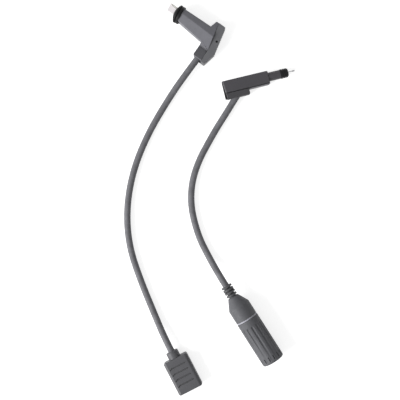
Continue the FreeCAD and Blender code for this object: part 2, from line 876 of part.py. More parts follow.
def head_end_cap(doc, s, place):
    """Wedge-shaped cap that closes both halves and spigots into their hollow."""
    body = new_body(doc, "head_end_cap", place)
    half = s.head_half_width - s.cap_inset
    thick = s.head_half_thick - s.cap_inset
    inside = s.head_half_width - s.head_wall
    corner = s.head_blend
    sketch = new_sketch(body, "YZ_Plane")
    draw_outline(sketch, rounded_rectangle(-half, -thick, half, thick, corner))
    pad(body, sketch, s.cap_thick)
    sketch = new_sketch(body, "YZ_Plane")
    boss = s.boss_half_thick - s.cap_inset
    edge = s.cap_inset - s.boss_edge
    draw_outline(sketch, rounded_rectangle(edge, -boss, -inside, boss, corner))
    pad(body, sketch, s.cap_thick)
    sketch = new_sketch(body, "XY_Plane", -thick - s.blend)
    top = s.head_half_width + s.blend
    low = -s.boss_edge - s.blend
    front = s.cap_thick + s.blend
    draw_outline(sketch, [
        (front, low), (front, top), (cap_line(s, top), top), (cap_line(s, low), low),
    ])
    pocket(body, sketch, (thick + s.blend) * 2)
    sketch = new_sketch(body, "YZ_Plane", s.cap_thin)
    width = inside - s.fit
    height = s.head_half_thick - s.head_wall - s.fit
    draw_outline(sketch, rectangle(-width, -height, width, height))
    pad(body, sketch, s.cap_thick - s.cap_thin + s.cap_spigot)


def head_nose(doc, s, place):
    """Turned nose, held by its flange behind the case's front wall."""
    start = nose_start(s)
    wall_back = start - s.head_front_wall
    bore = s.barrel_tube_d / 2 + s.fit
    neck = s.nose_neck_d / 2
    outer = s.nose_d / 2
    end = sleeve_start(s)
    flange_back = wall_back - s.head_wall
    turned_body(doc, "head_nose", place, [
        (end, bore), (end, outer - s.blend), (end - s.blend, outer, s.blend),
        (start, outer), (start, neck), (wall_back - s.fit, neck),
        (wall_back - s.fit, s.nose_flange_d / 2), (flange_back, s.nose_flange_d / 2),
        (flange_back, bore),
    ])


def tip_sleeve(doc, s, place):
    """Black sleeve with two grooves and a rounded front edge."""
    start = sleeve_start(s)
    end = sleeve_end(s)
    radius = s.sleeve_d / 2
    bore = s.barrel_tube_d / 2 + s.fit
    seat = tube_front(s) + s.fit
    mouth = s.crown_d / 2 + s.fit
    cut = s.sleeve_groove
    points = [
        (seat, bore), (seat, mouth), (end, mouth), (end, radius - s.sleeve_round),
        (end - s.sleeve_round, radius, s.sleeve_round),
    ]
    for index in (2, 1):
        front = start + s.sleeve_pitch * index
        points += [
            (front, radius), (front, radius - cut), (front - cut, radius - cut),
            (front - cut, radius),
        ]
    points += [(start, radius), (start, bore)]
    turned_body(doc, "tip_sleeve", place, points)


def needle_barrel(doc, s, place):
    """Closed tube that guides the needle, with a rolled lip in front."""
    back = s.head_length - s.barrel_tube_back
    front = tube_front(s)
    outer = s.barrel_tube_d / 2
    inner = outer - s.barrel_tube_wall
    wall = s.barrel_lip
    mouth = s.needle_d / 2 + s.running_fit
    turned_body(doc, "needle_barrel", place, [
        (back + wall, 0), (back + wall, inner), (front - wall, inner), (front - wall, mouth),
        (front, mouth), (front, outer), (back, outer), (back, 0),
    ])


def probe_needle(doc, s, place):
    """Needle with its piston inside the barrel and its crown in front."""
    piston = s.piston_d / 2
    shaft = s.needle_d / 2
    crown = s.crown_d / 2
    front = piston_front(s)
    back = front - s.piston_length
    shoulder = sleeve_end(s) + s.needle_clear + s.needle_travel
    tip = shoulder + s.crown_length
    turned_body(doc, "probe_needle", place, [
        (tip, 0), (tip, shaft / 2), (tip - crown, crown), (shoulder, crown),
        (shoulder, shaft), (front, shaft), (front, piston), (back, piston), (back, 0),
    ])


def needle_spring(doc, s, place):
    """Room that the coiled spring fills behind the piston."""
    back = s.head_length - s.barrel_tube_back + s.barrel_lip + s.fit
    front = piston_front(s) - s.piston_length - s.fit
    outer = s.spring_d / 2
    turned_body(doc, "needle_spring", place,
                tube_points(back, front, outer - s.spring_wire, outer))


def head_board_top(s):
    return -s.wire_d / 2 - s.fit


def head_board(doc, s, place):
    top = head_board_top(s)
    half = s.head_half_width - s.head_wall - s.fit
    start = s.cap_thick + s.cap_spigot + s.board_gap
    end = s.head_length - s.barrel_tube_back - s.board_gap
    block_body(doc, "head_board", place,
               (start, -half, top - s.board_thick), (end, half, top))


def trimmer_capacitor(doc, s, place):
    """Round trimmer standing on the board, slotted for a screwdriver."""
    body = new_body(doc, "trimmer_capacitor", place)
    top = head_board_top(s)
    sketch = new_sketch(body, "XY_Plane", top)
    draw_circle(sketch, s.trimmer_x, s.nose_offset, s.trimmer_d / 2)
    pad(body, sketch, s.trimmer_height)
    slot = s.trimmer_slot
    sketch = new_sketch(body, "XY_Plane", top + s.trimmer_height - slot)
    reach = s.trimmer_d / 2 - slot
    draw_outline(sketch, rectangle(s.trimmer_x - reach, s.nose_offset - slot / 2,
                                   s.trimmer_x + reach, s.nose_offset + slot / 2))
    pocket(body, sketch, slot * 2)


def head_resistor(doc, s, place):
    """Resistor with its two leads, lying on the board."""
    radius = s.resistor_d / 2
    lead = s.lead_wire_d / 2
    end = s.head_length - s.barrel_tube_back - s.board_gap * 2
    long = s.resistor_length
    lead_length = s.resistor_d
    lying = moved(place, 0, s.nose_offset, head_board_top(s) + radius)
    turned_body(doc, "head_resistor", lying, [
        (end, 0), (end, lead), (end - lead_length, lead), (end - lead_length, radius),
        (end - lead_length - long, radius), (end - lead_length - long, lead),
        (end - lead_length * 2 - long, lead), (end - lead_length * 2 - long, 0),
    ])


def head_ferrule(doc, s, place):
    inner = s.core_d / 2 + s.fit
    points = tube_points(s.exit_depth, s.exit_depth + s.crimp_depth - s.fit, inner,
                         inner + s.crimp_wall)
    turned_body(doc, "head_cable_ferrule", exit_frame(s, place), points)


def straight_head(doc, s, place):
    nose = moved(place, 0, s.nose_offset)
    head_case(doc, s, place, "head_case_upper", True)
    head_case(doc, s, place, "head_case_lower", False)
    head_end_cap(doc, s, place)
    head_nose(doc, s, nose)
    tip_sleeve(doc, s, nose)
    needle_barrel(doc, s, nose)
    probe_needle(doc, s, nose)
    needle_spring(doc, s, nose)
    head_board(doc, s, place)
    trimmer_capacitor(doc, s, place)
    head_resistor(doc, s, place)
    head_ferrule(doc, s, place)
    core_end = s.exit_depth + s.core_reach
    core_and_wire(doc, s, "head_cable_core", exit_frame(s, place), s.exit_depth, core_end,
                  core_end + s.wire_reach)


# Socket connector

def metal_front(s):
    return s.socket_length + s.metal_proud


def tongue_root(s):
    return metal_front(s) - s.mouth_depth


def tongue_tip(s):
    return metal_front(s) - s.socket_tongue_back


def tongue_under(s):
    return s.metal_half_thick - s.metal_wall - s.fit - s.socket_tongue_thick


def socket_half(doc, s, place, name, up):
    """One half of the grip housing, with its hollow and its grip grooves."""
    side = 1 if up else -1
    half = s.socket_half_width
    thick = s.socket_half_thick
    end = s.socket_length
    body = new_body(doc, name, place)
    sketch = new_sketch(body, "XY_Plane")
    draw_outline(sketch, rounded_rectangle(0, -half, end, half, s.socket_corner))
    pad(body, sketch, thick, up)
    dress(body, "Fillet", s.socket_edge, edge_at_z(thick * side))
    sketch = new_sketch(body, "XY_Plane")
    back = s.metal_start - s.fit
    room = s.socket_tongue_half_width
    draw_outline(sketch, rectangle(s.socket_back_wall, -room, back, room))
    pocket(body, sketch, s.metal_half_thick - s.metal_wall, up)
    sketch = new_sketch(body, "XY_Plane")
    width = s.metal_half_width + s.fit
    draw_outline(sketch, rectangle(back, -width, end + s.metal_proud, width))
    pocket(body, sketch, s.metal_half_thick + s.fit, up)
    sketch = new_sketch(body, "XY_Plane")
    neck = s.collar_neck_d / 2 + s.fit
    draw_outline(sketch, rectangle(-s.blend, 0, s.socket_back_wall + s.blend, neck))
    revolve(body, sketch, "Groove")
    sketch = new_sketch(body, "XY_Plane", (thick - s.grip_depth) * side)
    draw_slot(sketch, s.grip_first, -s.grip_half_length, s.grip_first, s.grip_half_length,
              s.grip_half_width)
    grip = pocket(body, sketch, s.grip_depth + s.blend, up)
    linear(body, grip, s.grip_pitch * (s.grip_count - 1), s.grip_count)
    sketch = new_sketch(body, "XY_Plane", (thick - s.grip_depth) * side)
    draw_slot(sketch, s.grip_first, -s.grip_half_length, s.grip_first + s.grip_foot_x,
              -s.grip_half_length - s.grip_foot_y, s.grip_foot_half_width)
    foot = pocket(body, sketch, s.grip_depth + s.blend, up)
    linear(body, foot, s.grip_pitch * (s.grip_count - 1), s.grip_count)


def socket_collar(doc, s, place):
    """Round collar on the cable, held by its flange behind the back wall."""
    cable = s.cable_d / 2 + s.fit
    core = s.core_d / 2 + s.fit
    back = -s.collar_length
    seat = back + s.collar_cable_depth
    neck = s.collar_neck_d / 2
    outer = s.collar_d / 2
    round_edge = s.collar_round
    flange = s.socket_back_wall + s.fit
    turned_body(doc, "socket_collar", place, [
        (seat, cable), (seat, core), (flange + s.collar_flange, core),
        (flange + s.collar_flange, s.collar_flange_d / 2), (flange, s.collar_flange_d / 2),
        (flange, neck), (0, neck), (0, outer), (back + round_edge, outer),
        (back, outer - round_edge, round_edge), (back, cable),
    ])


def socket_metal_shell(doc, s, place):
    body = new_body(doc, "socket_metal_shell", place)
    width = s.metal_half_width
    height = s.metal_half_thick
    wall = s.metal_wall
    corner = wall * 2
    sketch = new_sketch(body, "YZ_Plane", s.metal_start)
    draw_outline(sketch, rounded_rectangle(-width, -height, width, height, corner))
    pad(body, sketch, metal_front(s) - s.metal_start)
    sketch = new_sketch(body, "YZ_Plane", s.metal_start - wall)
    inside = (wall - width, wall - height, width - wall, height - wall, corner - wall)
    draw_outline(sketch, rounded_rectangle(*inside))
    pocket(body, sketch, metal_front(s) - s.metal_start + wall * 2)


def contact_y(s, index):
    """Middle of one of the contacts."""
    return s.contact_pitch * (index - (SOCKET_CONTACTS - 1) / 2)


def socket_tongue(doc, s, place):
    """Moulded block that closes the shell, with the tongue and its contact slots."""
    width = s.metal_half_width - s.metal_wall - s.fit
    top = s.metal_half_thick - s.metal_wall - s.fit
    under = tongue_under(s)
    clear = s.metal_wall + s.fit
    body = new_body(doc, "socket_tongue", place)
    sketch = new_sketch(body, "YZ_Plane", s.metal_start)
    draw_outline(sketch, rounded_rectangle(-width, -top, width, top, clear))
    pad(body, sketch, tongue_root(s) - s.metal_start)
    sketch = new_sketch(body, "YZ_Plane", tongue_root(s) - s.fit)
    half = s.socket_tongue_half_width
    draw_outline(sketch, rectangle(-half, under, half, top))
    pad(body, sketch, tongue_tip(s) - tongue_root(s) + s.fit)
    sketch = new_sketch(body, "XY_Plane", under - s.contact_proud - s.fit)
    slot = s.contact_width / 2 + s.fit
    for index in range(SOCKET_CONTACTS):
        middle = contact_y(s, index)
        draw_outline(sketch, rectangle(s.metal_start - s.fit, middle - slot,
                                       tongue_tip(s) - s.contact_width / 2, middle + slot))
    pocket(body, sketch, s.contact_thick + s.fit)


def socket_contacts(doc, s, place):
    half = s.contact_width / 2
    low = tongue_under(s) - s.contact_proud
    for index in range(SOCKET_CONTACTS):
        middle = contact_y(s, index)
        body = new_body(doc, f"socket_contact_{index + 1}", place)
        sketch = new_sketch(body, "XY_Plane", low)
        start = s.metal_start - s.contact_tail
        end = tongue_tip(s) - half - s.fit
        draw_outline(sketch, rectangle(start, middle - half, end, middle + half))
        pad(body, sketch, s.contact_thick)
        tip = edge_at_x(end)
        dress(body, "Chamfer", s.contact_bevel, picked_edges(tip, edge_at_z(low)))


def socket_connector(doc, s, place):
    socket_half(doc, s, place, "socket_housing_upper", True)
    socket_half(doc, s, place, "socket_housing_lower", False)
    socket_collar(doc, s, place)
    socket_metal_shell(doc, s, place)
    socket_tongue(doc, s, place)
    socket_contacts(doc, s, place)
    seat = s.collar_cable_depth - s.collar_length
    flange_end = s.socket_back_wall + s.fit + s.collar_flange
    core_end = s.metal_start - s.contact_tail - s.board_gap
    inner = s.core_d / 2 + s.fit
    turned_body(doc, "socket_ferrule", place,
                tube_points(flange_end, core_end - s.wire_d, inner, inner + s.crimp_wall))
    core_and_wire(doc, s, "socket_cable_core", place, seat, core_end,
                  s.metal_start - s.board_gap)


# Angled head

def cover_near_y(s):
    return s.block_near + s.cover_over


def plateau_z(s, y):
    """Height of the lit facet over the barrel axis."""
    return s.ridge_height - (y + s.ridge_offset) * slope(s.lit_slope)


def angled_board_edge(s):
    """Side of the board that faces the cable."""
    return s.barrel_half_width - s.angled_wall * 2


def angled_floor(s):
    return s.angled_wall - s.angled_height


def cut_roof(body, s, start, length):
    """Takes off everything over the facets of the roof."""
    far = s.block_far + s.blend
    dark = s.ridge_height - (far - s.ridge_offset) * slope(s.dark_slope)
    step_top = plateau_z(s, s.plateau_end)
    step_low = step_top - s.plateau_step
    top = s.ridge_height + s.angled_wall
    end = cover_near_y(s) + s.blend
    sketch = new_sketch(body, "YZ_Plane", start)
    draw_outline(sketch, [
        (-far, dark), (-s.ridge_offset, s.ridge_height), (s.plateau_end, step_top),
        (s.plateau_end + s.blend, step_low), (end, step_low + s.thumb_rise), (end, top),
        (-far, top),
    ])
    pocket(body, sketch, length)


def block_pad(body, s, points, top):
    sketch = new_sketch(body, "XY_Plane", -s.angled_height)
    draw_outline(sketch, points)
    pad(body, sketch, s.angled_height + top)


def cavity_cut(body, s, points):
    sketch = new_sketch(body, "XY_Plane", angled_floor(s))
    draw_outline(sketch, points)
    pocket(body, sketch, s.cavity_top - angled_floor(s))


def carrier_half(s):
    """Half width and half thickness of the carrier's root."""
    width = s.tongue_width / 2 + s.carrier_shoulder
    return width, s.tongue_thick / 2 + s.carrier_shoulder


def angled_head_body(doc, s, place):
    """T-shaped moulding: barrel, front of the block, hollow, bores and screw lug."""
    body = new_body(doc, "angled_head_body", place)
    half = s.barrel_half_width
    tip = s.barrel_tip_half_width
    near_y = s.block_near
    far_y = -s.block_far
    corner = s.block_corner
    wall = s.angled_wall
    block_pad(body, s, [
        (-s.far_setback - corner, far_y), (-s.far_setback, far_y + corner, corner),
        (0, -half), (-s.elbow_setback, half), (-s.block_setback, near_y - corner),
        (-s.block_setback - corner, near_y, corner), (-s.seam_near, near_y),
        (-s.seam_elbow, s.cover_elbow_at), (-s.seam_far, far_y),
    ], s.ridge_height)
    sketch = new_sketch(body, "XY_Plane", -s.barrel_under)
    skewed = tip * slope(s.ring_skew)
    draw_outline(sketch, [
        (-wall, -half), (s.barrel_length + skewed, -tip), (s.barrel_length - skewed, tip),
        (-wall, half),
    ])
    pad(body, sketch, s.barrel_under + s.ridge_height)
    cut_roof(body, s, -s.cover_elbow, s.cover_elbow + s.barrel_length + wall)
    sketch = new_sketch(body, "XY_Plane", -s.angled_height)
    draw_outline(sketch, rectangle(-s.seam_near, near_y - wall, -s.angled_exit_x,
                                   cover_near_y(s)))
    pad(body, sketch, s.exit_lip)
    inner_y = near_y - s.angled_seat
    behind = -s.seam_near - wall
    front_near = between(inner_y, half, -s.elbow_setback, near_y, -s.block_setback) - wall
    cavity_cut(body, s, [
        (-wall, -s.cavity_far), (-wall, angled_board_edge(s)), (-s.elbow_setback - wall, half),
        (front_near, inner_y), (behind, inner_y), (behind, -s.cavity_far),
    ])
    for width, height, end in (
        (*carrier_half(s), s.carrier_root),
        (s.tongue_width / 2, s.tongue_thick / 2 + s.blade_proud, s.barrel_length + wall),
    ):
        sketch = new_sketch(body, "YZ_Plane", -wall - s.blend)
        side = width + s.fit
        deep = height + s.fit
        draw_outline(sketch, rectangle(-side, -deep, side, deep))
        pocket(body, sketch, end + wall + s.blend)
    sketch = new_sketch(body, "XY_Plane", angled_floor(s) - s.fit)
    lug = s.lug_half_width
    draw_outline(sketch, rectangle(-s.screw_x - s.screw_head_d, -lug, -wall + s.fit, lug))
    pad(body, sketch, -s.lug_top - angled_floor(s) + s.fit)
    sketch = new_sketch(body, "XY_Plane", angled_floor(s) - s.blend)
    draw_circle(sketch, -s.screw_x, 0, s.screw_shank_d / 2 + s.fit)
    pocket(body, sketch, s.angled_height)
    sketch = new_sketch(body, "XZ_Plane", -near_y - s.blend)
    draw_circle(sketch, -s.angled_exit_x, -s.angled_exit_drop, s.cable_d / 2 + s.fit)
    pocket(body, sketch, s.angled_seat + s.blend * 2)


def cover_back_x(s, y):
    return between(y, -s.block_far, -s.cover_far, s.cover_elbow_at, -s.cover_elbow)


def angled_head_cover(doc, s, place):
    """Wedge-shaped rear cover beyond the seam, with the screw's hole."""
    body = new_body(doc, "angled_head_cover", place)
    gap = s.fit
    elbow_y = s.cover_elbow_at
    near_y = cover_near_y(s)
    block_pad(body, s, [
        (-s.seam_far - gap, -s.block_far), (-s.seam_elbow - gap, elbow_y),
        (-s.seam_near - gap, s.block_near), (-s.seam_near - gap, near_y),
        (-s.cover_near, near_y), (-s.cover_elbow, elbow_y), (-s.cover_far, -s.block_far),
    ], s.cover_top)
    wall = s.angled_wall
    inner_y = s.block_near - s.angled_seat
    far = -s.cavity_far
    cavity_cut(body, s, [
        (-s.seam_far, far), (-s.seam_far, inner_y),
        (between(inner_y, elbow_y, -s.cover_elbow, near_y, -s.cover_near) + wall, inner_y),
        (-s.cover_elbow + wall, elbow_y), (cover_back_x(s, far) + wall, far),
    ])
    foot = angled_floor(s) - s.fit * 2
    sketch = new_sketch(body, "XY_Plane", foot)
    lug = s.lug_half_width + s.fit
    back = -s.screw_x - s.screw_head_d - s.fit
    draw_outline(sketch, rectangle(back, -lug, -s.seam_far, lug))
    pocket(body, sketch, -s.lug_top + s.fit - foot)
    sketch = new_sketch(body, "XY_Plane", s.cavity_top - s.blend)
    draw_circle(sketch, -s.screw_x, 0, s.screw_shank_d / 2 + s.fit)
    pocket(body, sketch, s.ridge_height)
    sketch = new_sketch(body, "XY_Plane", screw_seat(s))
    draw_circle(sketch, -s.screw_x, 0, s.screw_head_d / 2 + s.fit)
    pocket(body, sketch, s.ridge_height)


def screw_seat(s):
    return s.cover_top - s.screw_sink - s.screw_head_depth


def cover_screw(doc, s, place):
    """Small screw through the cover's roof into the lug, with a cross slot."""
    body = new_body(doc, "cover_screw", place)
    seat = screw_seat(s)
    sketch = new_sketch(body, "XY_Plane", seat)
    draw_circle(sketch, -s.screw_x, 0, s.screw_head_d / 2)
    pad(body, sketch, s.screw_head_depth)
    foot = angled_floor(s) + s.fit
    sketch = new_sketch(body, "XY_Plane", foot)
    draw_circle(sketch, -s.screw_x, 0, s.screw_shank_d / 2)
    pad(body, sketch, seat - foot + s.fit)
    top = seat + s.screw_head_depth
    narrow = s.screw_slot / 2
    reach = s.screw_head_d / 2 - narrow
    for across, along in ((reach, narrow), (narrow, reach)):
        sketch = new_sketch(body, "XY_Plane", top - s.screw_head_depth / 2)
        draw_outline(sketch, rectangle(-s.screw_x - across, -along, -s.screw_x + across, along))
        pocket(body, sketch, s.screw_head_depth)


def tip_seal_ring(doc, s, place):
    """Rubber ring of two ribs and a blunt cone, square to the barrel's skewed end."""
    turn = Placement(Vector(), Rotation(Vector(0, 0, 1), s.ring_skew.value))
    place = moved(place, s.barrel_length).multiply(turn)
    end = s.ring_length
    low = s.ring_back_rib + s.ring_groove
    high = low + s.ring_rib
    back = s.ring_back_d / 2
    crest = s.ring_d / 2
    valley = crest - s.ring_groove_depth
    corner = s.blend
    core = s.tongue_thick / 2
    body = turned_body(doc, "tip_seal_ring", place, [
        (end, core), (end, s.ring_front_d / 2), (high + s.ring_groove, valley), (high, valley),
        (high, crest - corner), (high - corner, crest, corner), (low + corner, crest),
        (low, crest - corner, corner), (low, valley), (s.ring_back_rib, valley),
        (s.ring_back_rib, back - corner), (s.ring_back_rib - corner, back, corner), (0, back),
        (0, core),
    ])
    width = s.tongue_width / 2 + s.fit
    height = core + s.blade_proud + s.fit
    sketch = new_sketch(body, "XY_Plane", -height)
    turn_sketch(sketch, Vector(0, 0, -1), s.ring_skew)
    draw_outline(sketch, rectangle(-s.angled_wall, -width, end + s.angled_wall, width))
    pocket(body, sketch, height * 2)


def tongue_end(s):
    return s.barrel_length + s.ring_length + s.tongue_reach


def blade_span(s):
    """Outer and inner edge of a blade, on the tongue's far side."""
    outer = -s.tongue_width / 2 + s.blade_proud
    return outer, outer + s.blade_width


def contact_carrier(doc, s, place):
    """Pale flat tongue with a thicker root and a channel for each blade."""
    body = new_body(doc, "contact_carrier", place)
    width = s.tongue_width / 2
    thick = s.tongue_thick / 2
    sketch = new_sketch(body, "XY_Plane", -thick)
    end = tongue_end(s)
    corner = s.blend * 2
    skewed = width * slope(s.ring_skew)
    far = end + skewed
    near_x = end - skewed
    draw_outline(sketch, [
        (far - corner, -width), (far, -width + corner, corner), (near_x, width - corner),
        (near_x - corner, width, corner), (0, width), (0, -width),
    ])
    pad(body, sketch, s.tongue_thick)
    sketch = new_sketch(body, "YZ_Plane")
    wide, high = carrier_half(s)
    draw_outline(sketch, rectangle(-wide, -high, wide, high))
    pad(body, sketch, s.carrier_root - s.fit)
    outer, inner = blade_span(s)
    for low in blade_lows(s):
        sketch = new_sketch(body, "YZ_Plane", -s.fit)
        draw_outline(sketch, rectangle(outer - s.fit, low, inner + s.fit, low + s.blade_thick))
        pocket(body, sketch, end - corner + s.fit)


def blade_lows(s):
    """Undersides of the upper and the lower blade."""
    upper = s.tongue_thick / 2 + s.blade_proud - s.blade_thick
    return upper, -upper - s.blade_thick


def contact_blades(doc, s, place):
    outer, inner = blade_span(s)
    end = tongue_end(s) - s.blend * 2 - s.fit
    for name, low in zip(("contact_blade_upper", "contact_blade_lower"), blade_lows(s)):
        block_body(doc, name, place, (-s.blade_width, outer, low),
                   (end, inner, low + s.blade_thick))


def angled_board_top(s):
    return -s.angled_exit_drop - s.wire_d / 2 - s.fit


def angled_board(doc, s, place):
    """Circuit board behind the contact carrier, with its two small parts."""
    top = angled_board_top(s)
    front = -s.angled_wall - s.fit
    back = cover_back_x(s, -s.cavity_far) + s.angled_wall + s.board_gap
    low_y = -s.cavity_far + s.fit
    block_body(doc, "angled_head_board", place, (back, low_y, top - s.board_thick),
               (front, angled_board_edge(s), top))
    first = low_y + s.board_gap
    over = top + s.chip_height
    left = back + s.board_gap
    block_body(doc, "angled_head_resistor", place, (left, first, top),
               (left + s.chip_width, first + s.chip_length, over))
    right = front - s.board_gap
    block_body(doc, "angled_head_capacitor", place, (right - s.chip_length, first, top),
               (right, first + s.chip_width, over))


def angled_exit_frame(s, place):
    """Frame at the cable's seat in the block, x pointing out along the cable."""
    seat = moved(place, -s.angled_exit_x, s.block_near - s.angled_seat, -s.angled_exit_drop)
    return seat.multiply(Placement(Vector(), Rotation(Vector(0, 0, 1), 90)))


def angled_head(doc, s, place):
    angled_head_body(doc, s, place)
    angled_head_cover(doc, s, place)
    cover_screw(doc, s, place)
    tip_seal_ring(doc, s, place)
    contact_carrier(doc, s, place)
    contact_blades(doc, s, place)
    angled_board(doc, s, place)
    seat = angled_exit_frame(s, place)
    inner = s.core_d / 2 + s.fit
    turned_body(doc, "angled_cable_clamp", seat,
                tube_points(-s.clamp_length, 0, inner, inner + s.crimp_wall))
    reach = s.block_near - s.angled_seat - angled_board_edge(s)
    turn = Placement(Vector(), Rotation(Vector(0, 0, 1), 180))
    core_and_wire(doc, s, "angled_cable_core", seat.multiply(turn), 0,
                  s.clamp_length + s.wire_d, reach + s.wire_d * 2)


# Cables

def heading(place, turn=0):
    """World direction of a frame's x axis, turned in plan."""
    return place.Rotation.multVec(Rotation(Vector(0, 0, 1), turn).multVec(Vector(1, 0, 0)))


def cable_route(s, start, start_way, start_run, points, end, end_way, end_run):
    """Corner points of a cable: a straight run at each end, the rest on the bench."""
    lying = (s.cable_d / 2 + s.lay_gap).value
    route = [start, start + start_way * start_run]
    route += [Vector(x, y, lying) for x, y in points]
    route += [end + end_way * end_run, end]
    return route


def cable_path(route):
    """Straight runs joined by tangent arcs, with the arcs' radii."""
    edges = []
    radii = []
    last = route[0]
    for before, corner, after in zip(route, route[1:], route[2:]):
        back = before - corner
        ahead = after - corner
        cut = ARC_SHARE * min(back.Length, ahead.Length)
        back.normalize()
        ahead.normalize()
        half_turn = (math.pi - back.getAngle(ahead)) / 2
        radius = cut / math.tan(half_turn)
        inward = (back + ahead).normalize()
        middle = corner + inward * (radius / math.cos(half_turn) - radius)
        arc_start = corner + back * cut
        arc_end = corner + ahead * cut
        edges.append(Part.LineSegment(last, arc_start).toShape())
        edges.append(Part.Arc(arc_start, middle, arc_end).toShape())
        radii.append(radius)
        last = arc_end
    edges.append(Part.LineSegment(last, route[-1]).toShape())
    return Part.Wire(edges), radii


def cable(doc, s, name, route):
    """A round cable along its route; prints its bends and its volume check."""
    path, radii = cable_path(route)
    way = route[1] - route[0]
    radius = s.cable_d.value / 2
    section = Part.Wire([Part.makeCircle(radius, route[0], way)])
    solid = path.makePipeShell([section], True, False)
    item = doc.addObject("Part::Feature", name)
    item.Label = name
    item.Shape = solid
    item.Placement = Placement()
    expected = math.pi * radius ** 2 * path.Length
    print(name, "length", round(path.Length, 1), "bend radii",
          [round(value, 1) for value in radii],
          "volume against section times length", round(solid.Volume / expected, 4))


def cables(doc, s, angled, socket, straight, coupling):
    start = angled_exit_frame(s, angled)
    end = moved(socket, s.collar_cable_depth - s.collar_length)
    cable(doc, s, "angled_cable", cable_route(
        s, start.Base, heading(start), ANGLED_EXIT_RUN, ANGLED_CABLE_POINTS,
        end.Base, heading(socket, 180), SOCKET_ENTRY_RUN))
    inside = exit_frame(s, straight)
    start = moved(inside, s.exit_depth)
    end = moved(coupling, cable_end_in_boot(s))
    cable(doc, s, "straight_cable", cable_route(
        s, start.Base, heading(inside, 180), STRAIGHT_EXIT_RUN, STRAIGHT_CABLE_POINTS,
        end.Base, heading(coupling, 180), COUPLING_ENTRY_RUN))


def sub_parts(doc):
    """Every piece: the bodies, and the cables beside them."""
    kinds = ("PartDesign::Body", "Part::Feature")
    return [item for item in doc.Objects if item.TypeId in kinds]


def check(doc):
    """Stops at a failed feature, a bad solid, or a cut that took nothing away."""
    for item in doc.Objects:
        if "Invalid" in item.State or "Error" in item.State:
            raise RuntimeError(f"{item.Name} failed: {item.State}")
        if item.TypeId in ("PartDesign::Pocket", "PartDesign::Groove"):
            if item.Shape.Volume > item.BaseFeature.Shape.Volume - 1e-6:
                raise RuntimeError(f"{item.Name} cuts nothing")
    for item in sub_parts(doc):
        shape = item.Shape
        if shape.isNull() or not shape.isValid() or len(shape.Solids) != 1:
            raise RuntimeError(f"{item.Label} is not one sound solid")
        if shape.Volume <= 0:
            raise RuntimeError(f"{item.Label} is inside out")


def main():
    doc = FreeCAD.newDocument("probe_set")
    s = write_sheet(doc)
    angled = frame(ANGLED_HEAD_AT, s.angled_height)
    socket = frame(SOCKET_AT, s.socket_height)
    straight = frame(STRAIGHT_HEAD_AT, s.head_height)
    coupling = frame(COUPLING_AT, s.coupling_height)
    angled_head(doc, s, angled)
    socket_connector(doc, s, socket)
    straight_head(doc, s, straight)
    round_connector(doc, s, coupling)
    cables(doc, s, angled, socket, straight, coupling)
    doc.recompute()
    check(doc)
    os.makedirs("parts", exist_ok=True)
    for item in sub_parts(doc):
        item.Shape.exportStep(f"parts/{item.Label}.step")


main()
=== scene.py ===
import math

import bmesh
import bpy
from mathutils import Matrix, Vector


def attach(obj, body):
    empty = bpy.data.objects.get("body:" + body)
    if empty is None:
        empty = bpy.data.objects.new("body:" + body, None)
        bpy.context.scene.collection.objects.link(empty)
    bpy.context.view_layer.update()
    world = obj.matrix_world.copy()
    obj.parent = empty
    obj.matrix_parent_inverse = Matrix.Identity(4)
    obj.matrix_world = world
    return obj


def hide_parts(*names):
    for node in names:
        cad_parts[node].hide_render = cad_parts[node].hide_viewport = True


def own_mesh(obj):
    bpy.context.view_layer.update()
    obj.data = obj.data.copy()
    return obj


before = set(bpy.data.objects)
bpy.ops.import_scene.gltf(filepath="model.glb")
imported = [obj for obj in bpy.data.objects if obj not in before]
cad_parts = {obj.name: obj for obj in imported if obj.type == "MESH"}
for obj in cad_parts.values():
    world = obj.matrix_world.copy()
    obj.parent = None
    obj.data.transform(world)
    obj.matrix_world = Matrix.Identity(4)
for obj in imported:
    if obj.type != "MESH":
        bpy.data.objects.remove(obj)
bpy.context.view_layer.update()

# Scene of the two probe leads on a pale bench, in metres, in the frame of the CAD

MM = 0.001
LEADS = "leads"
COUPLING = "coupling"

# Framing of the photograph
VIEW_CENTRE = (-18.94 * MM, -0.38 * MM)
VIEW_WIDTH = 256 * MM
VIEW_PLANE = 5 * MM
CAMERA_HEIGHT = 0.605

# Bores that take the cable and its core, as radii in mm
CABLE_SEAT = 2.175
CORE_SEAT = 1.0

# Cables: diameter, the points of their routes in mm, and where each leaves its head
CABLE_D = 4.25 * MM
ANGLED_ROUTE = [
    (-18.67, 92.56, 5.0), (-28.04, 80.21, 5.0), (-37.9, 66.6, 2.175), (-52.3, 42.6, 2.175),
    (-62.2, 18.2, 2.175), (-66.3, -6.5, 2.175), (-64.6, -30.0, 2.175), (-57.2, -52.0, 2.175),
    (-47.2, -76.2, 2.175), (-41.2, -89.55, 4.4), (-35.72, -100.11, 4.4),
]
STRAIGHT_ROUTE = [
    (6.08, 68.62, 3.3), (-1.5, 56.26, 3.3), (-9.9, 43.2, 2.175), (-22.4, 20.0, 2.175),
    (-25.6, -1.0, 2.175), (-20.6, -22.4, 2.175), (-12.8, -37.9, 2.175), (-5.56, -50.13, 7.4),
    (0.88, -60.25, 7.4),
]

# Headings of the heads and connectors in plan, in degrees
ANGLED_HEADING = 142.8
SOCKET_HEADING = -62.6
STRAIGHT_HEADING = 13.45
CONNECTOR_HEADING = -57.5

# Each unit's origin in mm and its heading: x of the unit runs along its axis
ANGLED_UNIT = (-15.42, 105.6, 6.05, ANGLED_HEADING)
SOCKET_UNIT = (-35.1, -101.31, 4.4, SOCKET_HEADING)
STRAIGHT_UNIT = (-4.25, 71.52, 3.3, STRAIGHT_HEADING)
CONNECTOR_UNIT = (10.61, -75.52, 7.4, CONNECTOR_HEADING)

